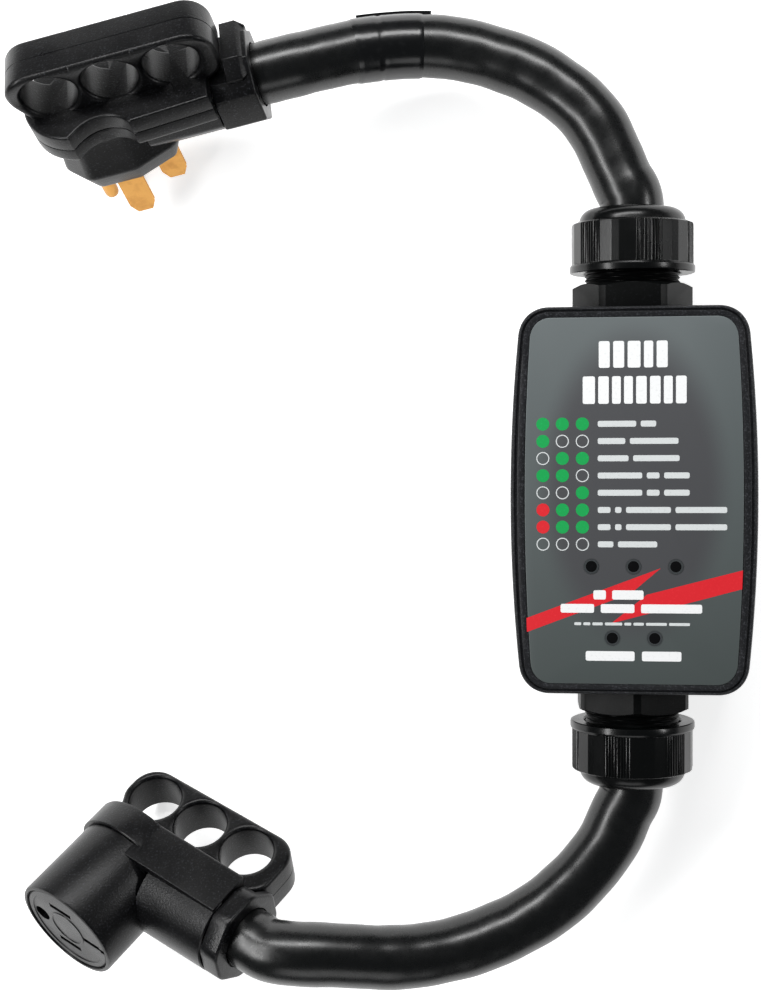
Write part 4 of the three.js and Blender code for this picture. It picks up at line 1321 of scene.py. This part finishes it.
    def build(self) -> list[bpy.types.Object]:
        """Makes the plug's pieces."""
        blades = [("line_blade_1", self.blade_x, self.blade_y, self.line_tip),
                  ("line_blade_2", self.blade_x, -self.blade_y, self.line_tip),
                  ("neutral_blade", self.neutral_x, 0.0, self.neutral_tip)]
        return [self.handle(), self.base(), self.collar(), self.pin(), *(self.blade(*b) for b in blades)]


@dataclass
class ConnectorEnd(PlugEnd):
    """The connector: grip and lid in one, barrel with its sleeve, slotted face, collar."""

    seat: Seat = field(default_factory=lambda: Seat.of_face(
        "connector_face", "line_contact_1", "line_contact_2", (-20, 0, -77.2)))
    barrel_x: float = -20.0
    barrel: float = 27.6
    lid: float = 29.6
    lid_low: float = -34.0
    strip_low: float = -41.0
    cap: float = -18.2
    front: float = -78.0
    end: float = 45.7
    cord_z: float = -33.0
    collar_end: float = 56.0
    blade_x: float = -21.4
    neutral_x: float = -2.6
    pin_x: float = -36.5
    bottom: float = -54.0

    def handle(self) -> bpy.types.Object:
        """The lid over the barrel, the strip along the sleeve, and the grip."""
        top = self.cap
        lid = turned([(0.5, self.lid_low), (self.lid - 0.5, self.lid_low), (self.lid, self.lid_low + 0.5),
                      (self.lid, top - 1.8), (self.lid - 0.5, top - 0.6), (self.lid - 1.8, top),
                      (0.5, top)], 96).moved(self.barrel_x, 0, 0)
        outline = cap_outline(self.barrel_x, 26.5, 23.6, self.end)
        strip = moulding(outline, soft_edges(self.strip_low, top, 0.4, 1.5))
        grip = Grip(-46.0, top - 1.0)
        room = disc(self.barrel + 0.3, -90, self.lid_low, 112).moved(self.barrel_x, 0, 0)
        sleeve = moulding(shrunk(self.sleeve_outline(), -0.25), [(0, 2), (0, 90)], Axis.X)
        return self.piece("connector_handle", "connector_grip_and_lid", lid, joins=[strip, grip.shape()],
                          cuts=[room, sleeve])

    def sleeve_outline(self) -> np.ndarray:
        """The sleeve's section: a circle cut flat under the lid."""
        turn = np.linspace(0, 2 * math.pi, 80, endpoint=False)
        flat = np.stack([22.5 * np.cos(turn), self.cord_z - 0.5 + 22.5 * np.sin(turn)], axis=1)
        flat[:, 1] = np.minimum(flat[:, 1], self.lid_low - 0.3)
        return flat

    def body(self) -> bpy.types.Object:
        """The barrel, open at its face, and the round sleeve towards the cord."""
        low, high = self.front, self.lid_low - 0.3
        barrel = turned([(26.2, low), (27.2, low + 0.3), (self.barrel, low + 1.2), (self.barrel, high),
                         (1.0, high), (1.0, -52), (25.3, -52), (25.3, low + 0.5), (25.6, low)],
                        112, closed=True).moved(self.barrel_x, 0, 0)
        sleeve = moulding(self.sleeve_outline(), [(0, 4.5), (0, self.end - 0.6), (0.6, self.end)], Axis.X)
        return self.piece("connector_body", "connector_barrel", barrel, joins=[sleeve])

    def face_plate(self) -> bpy.types.Object:
        """The round face with three slots, a round hole and a shallow ring."""
        top = self.front + 0.8
        low = self.bottom - 1
        profile = [(0.5, top + 0.2), (9.2, top + 0.2), (9.5, top - 0.15), (10.3, top - 0.15),
                   (10.6, top + 0.2), (21.5, top + 0.2), (21.8, top - 0.2), (24.2, top - 0.2),
                   (25, top + 0.4), (25, low), (0.5, low)]
        plate = turned(profile, 96).moved(self.barrel_x, 0, 0)
        slots = [box_between((x - 6.9, y - 1.4, self.front - 2), (x + 6.9, y + 1.4, self.bottom))
                 for x, y in ((self.blade_x, self.blade_y), (self.blade_x, -self.blade_y),
                              (self.neutral_x, 0))]
        hole = disc(4.4, self.front - 2, self.bottom, 36).moved(self.pin_x, 0, 0)
        return self.piece("socket_face", "connector_face_plate", plate, cuts=[*slots, hole])

    def collar(self) -> bpy.types.Object:
        """The eight-sided collar at the sleeve's end, with a mouth for the cord."""
        edge = soft_edges(self.end + 0.3, self.collar_end, 0.6, 1.4)
        low = moulding(self.octagon(23.6, 9, 6), edge, Axis.X)
        room = box_between((40, -40, self.cap - 1.3), (52.5, 40, 40))
        return self.piece("connector_collar", "connector_cord_collar", low, cuts=[room, self.mouth()])

    def build(self) -> list[bpy.types.Object]:
        """Makes the connector's pieces."""
        return [self.handle(), self.body(), self.face_plate(), self.collar()]


# ---- what the frame already has right ---------------------------------------------------------
def dress_frame(wardrobe: Wardrobe) -> None:
    """Gives every node the finish of its record slot."""
    for row in frame["record"]["subparts"]:
        slot = row["material_slot"]
        finish = "tape" if slot == "cord_jacket" else slot
        wardrobe.dress_node(row["node"], finish)


# ---- studio -----------------------------------------------------------------------------------
@dataclass
class Studio:
    """Camera, soft lights and a plain pale floor."""

    camera_at: tuple[float, float, float] = (-0.012, 0.036, 0.8944)
    looks_at: tuple[float, float, float] = (-0.115, 0.0018, 0.084)
    roll: float = -0.34
    lens: float = 64.44
    floor_half: float = 2.5
    floor_glow: float = 0.62

    def camera(self) -> None:
        """The camera, with the picture's up as near +Y as its roll leaves it."""
        data = bpy.data.cameras.new("camera")
        data.lens, data.sensor_width = self.lens, 36.0
        camera = bpy.data.objects.new("camera", data)
        ahead = (Vector(self.looks_at) - Vector(self.camera_at)).normalized()
        right = ahead.cross(Vector((0, 1, 0))).normalized()
        up = right.cross(ahead)
        c, s = math.cos(math.radians(self.roll)), math.sin(math.radians(self.roll))
        turn = Matrix((c * right + s * up, c * up - s * right, -ahead)).transposed().to_4x4()
        camera.matrix_world = Matrix.Translation(self.camera_at) @ turn
        bpy.context.scene.collection.objects.link(camera)
        bpy.context.scene.camera = camera

    def light(self, name: str, at: Sequence[float], size: tuple[float, float], power: float,
              target: Sequence[float] = (-0.1, 0, 0.03)) -> None:
        """A rectangular soft box that faces a point.

        Args:
            name: the light's name.
            at: where it hangs, in metres.
            size: its two sides in metres.
            power: its power in watts.
            target: the point it faces.
        """
        data = bpy.data.lights.new(name, "AREA")
        data.shape, (data.size, data.size_y), data.energy = "RECTANGLE", size, power
        lamp = bpy.data.objects.new(name, data)
        lamp.location = at
        lamp.rotation_mode = "QUATERNION"
        lamp.rotation_quaternion = (Vector(target) - Vector(at)).to_track_quat("-Z", "Y")
        bpy.context.scene.collection.objects.link(lamp)

    def floor(self) -> None:
        """A wide pale floor just under the object, lit evenly."""
        half = self.floor_half
        mesh = bpy.data.meshes.new("floor")
        mesh.from_pydata([(-half, -half, 0), (half, -half, 0), (half, half, 0), (-half, half, 0)], [],
                         [(0, 1, 2, 3)])
        piece = bpy.data.objects.new("floor", mesh)
        bpy.context.scene.collection.objects.link(piece)
        material, tree, shader, place = new_tree("pale_floor")
        shader.inputs["Roughness"].default_value = 0.9
        shader.inputs["Emission Color"].default_value = (1, 1, 1, 1)
        shader.inputs["Emission Strength"].default_value = self.floor_glow
        mottle = add_node(tree, "ShaderNodeTexNoise", {"Scale": 9.0}, {"Vector": place})
        colour = add_node(tree, "ShaderNodeMix",
                          {"data_type": "RGBA", 6: linear("#f4f4f3"), 7: linear("#fafafa")},
                          {0: mottle.outputs["Fac"]})
        tree.links.new(colour.outputs[2], shader.inputs["Base Color"])
        mesh.materials.append(material)

    def build(self) -> None:
        """Sets up the camera, the lights, the surroundings and the floor."""
        self.camera()
        self.light("key", (-0.25, 0.95, 1.0), (1.3, 0.26), 15.0)
        self.light("left", (-1.0, 0.0, 1.0), (1.1, 0.2), 10.0)
        self.light("right", (1.1, 0.2, 0.75), (0.6, 0.12), 4.0)
        self.light("low", (-0.1, -1.1, 0.7), (0.9, 0.5), 2.0)
        world = bpy.data.worlds.new("surroundings")
        bpy.context.scene.world = world
        world.use_nodes = True
        background = world.node_tree.nodes["Background"]
        background.inputs["Color"].default_value = (0.9, 0.95, 1.0, 1)
        background.inputs["Strength"].default_value = 0.1
        bpy.context.scene.view_settings.view_transform = "Standard"
        self.floor()


def main() -> None:
    """Builds everything in order."""
    logging.basicConfig(level=logging.INFO, format="%(message)s")
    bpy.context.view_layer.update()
    shop = Workshop(Wardrobe())
    Studio().build()
    cords = Cords(shop)
    upper, upper_path = cords.cord(End.UPPER, UPPER_ROUTE)
    lower, lower_path = cords.cord(End.LOWER, LOWER_ROUTE)
    band = cords.band(upper_path)
    dress_frame(shop.wardrobe)
    Housing(shop).build()
    for end in End:
        Gland(shop, end).build()
    plug = PlugEnd(shop).build()
    connector = ConnectorEnd(shop).build()
    cords.declare(End.UPPER)
    cords.declare(End.LOWER)


if __name__ == "__main__":
    main()
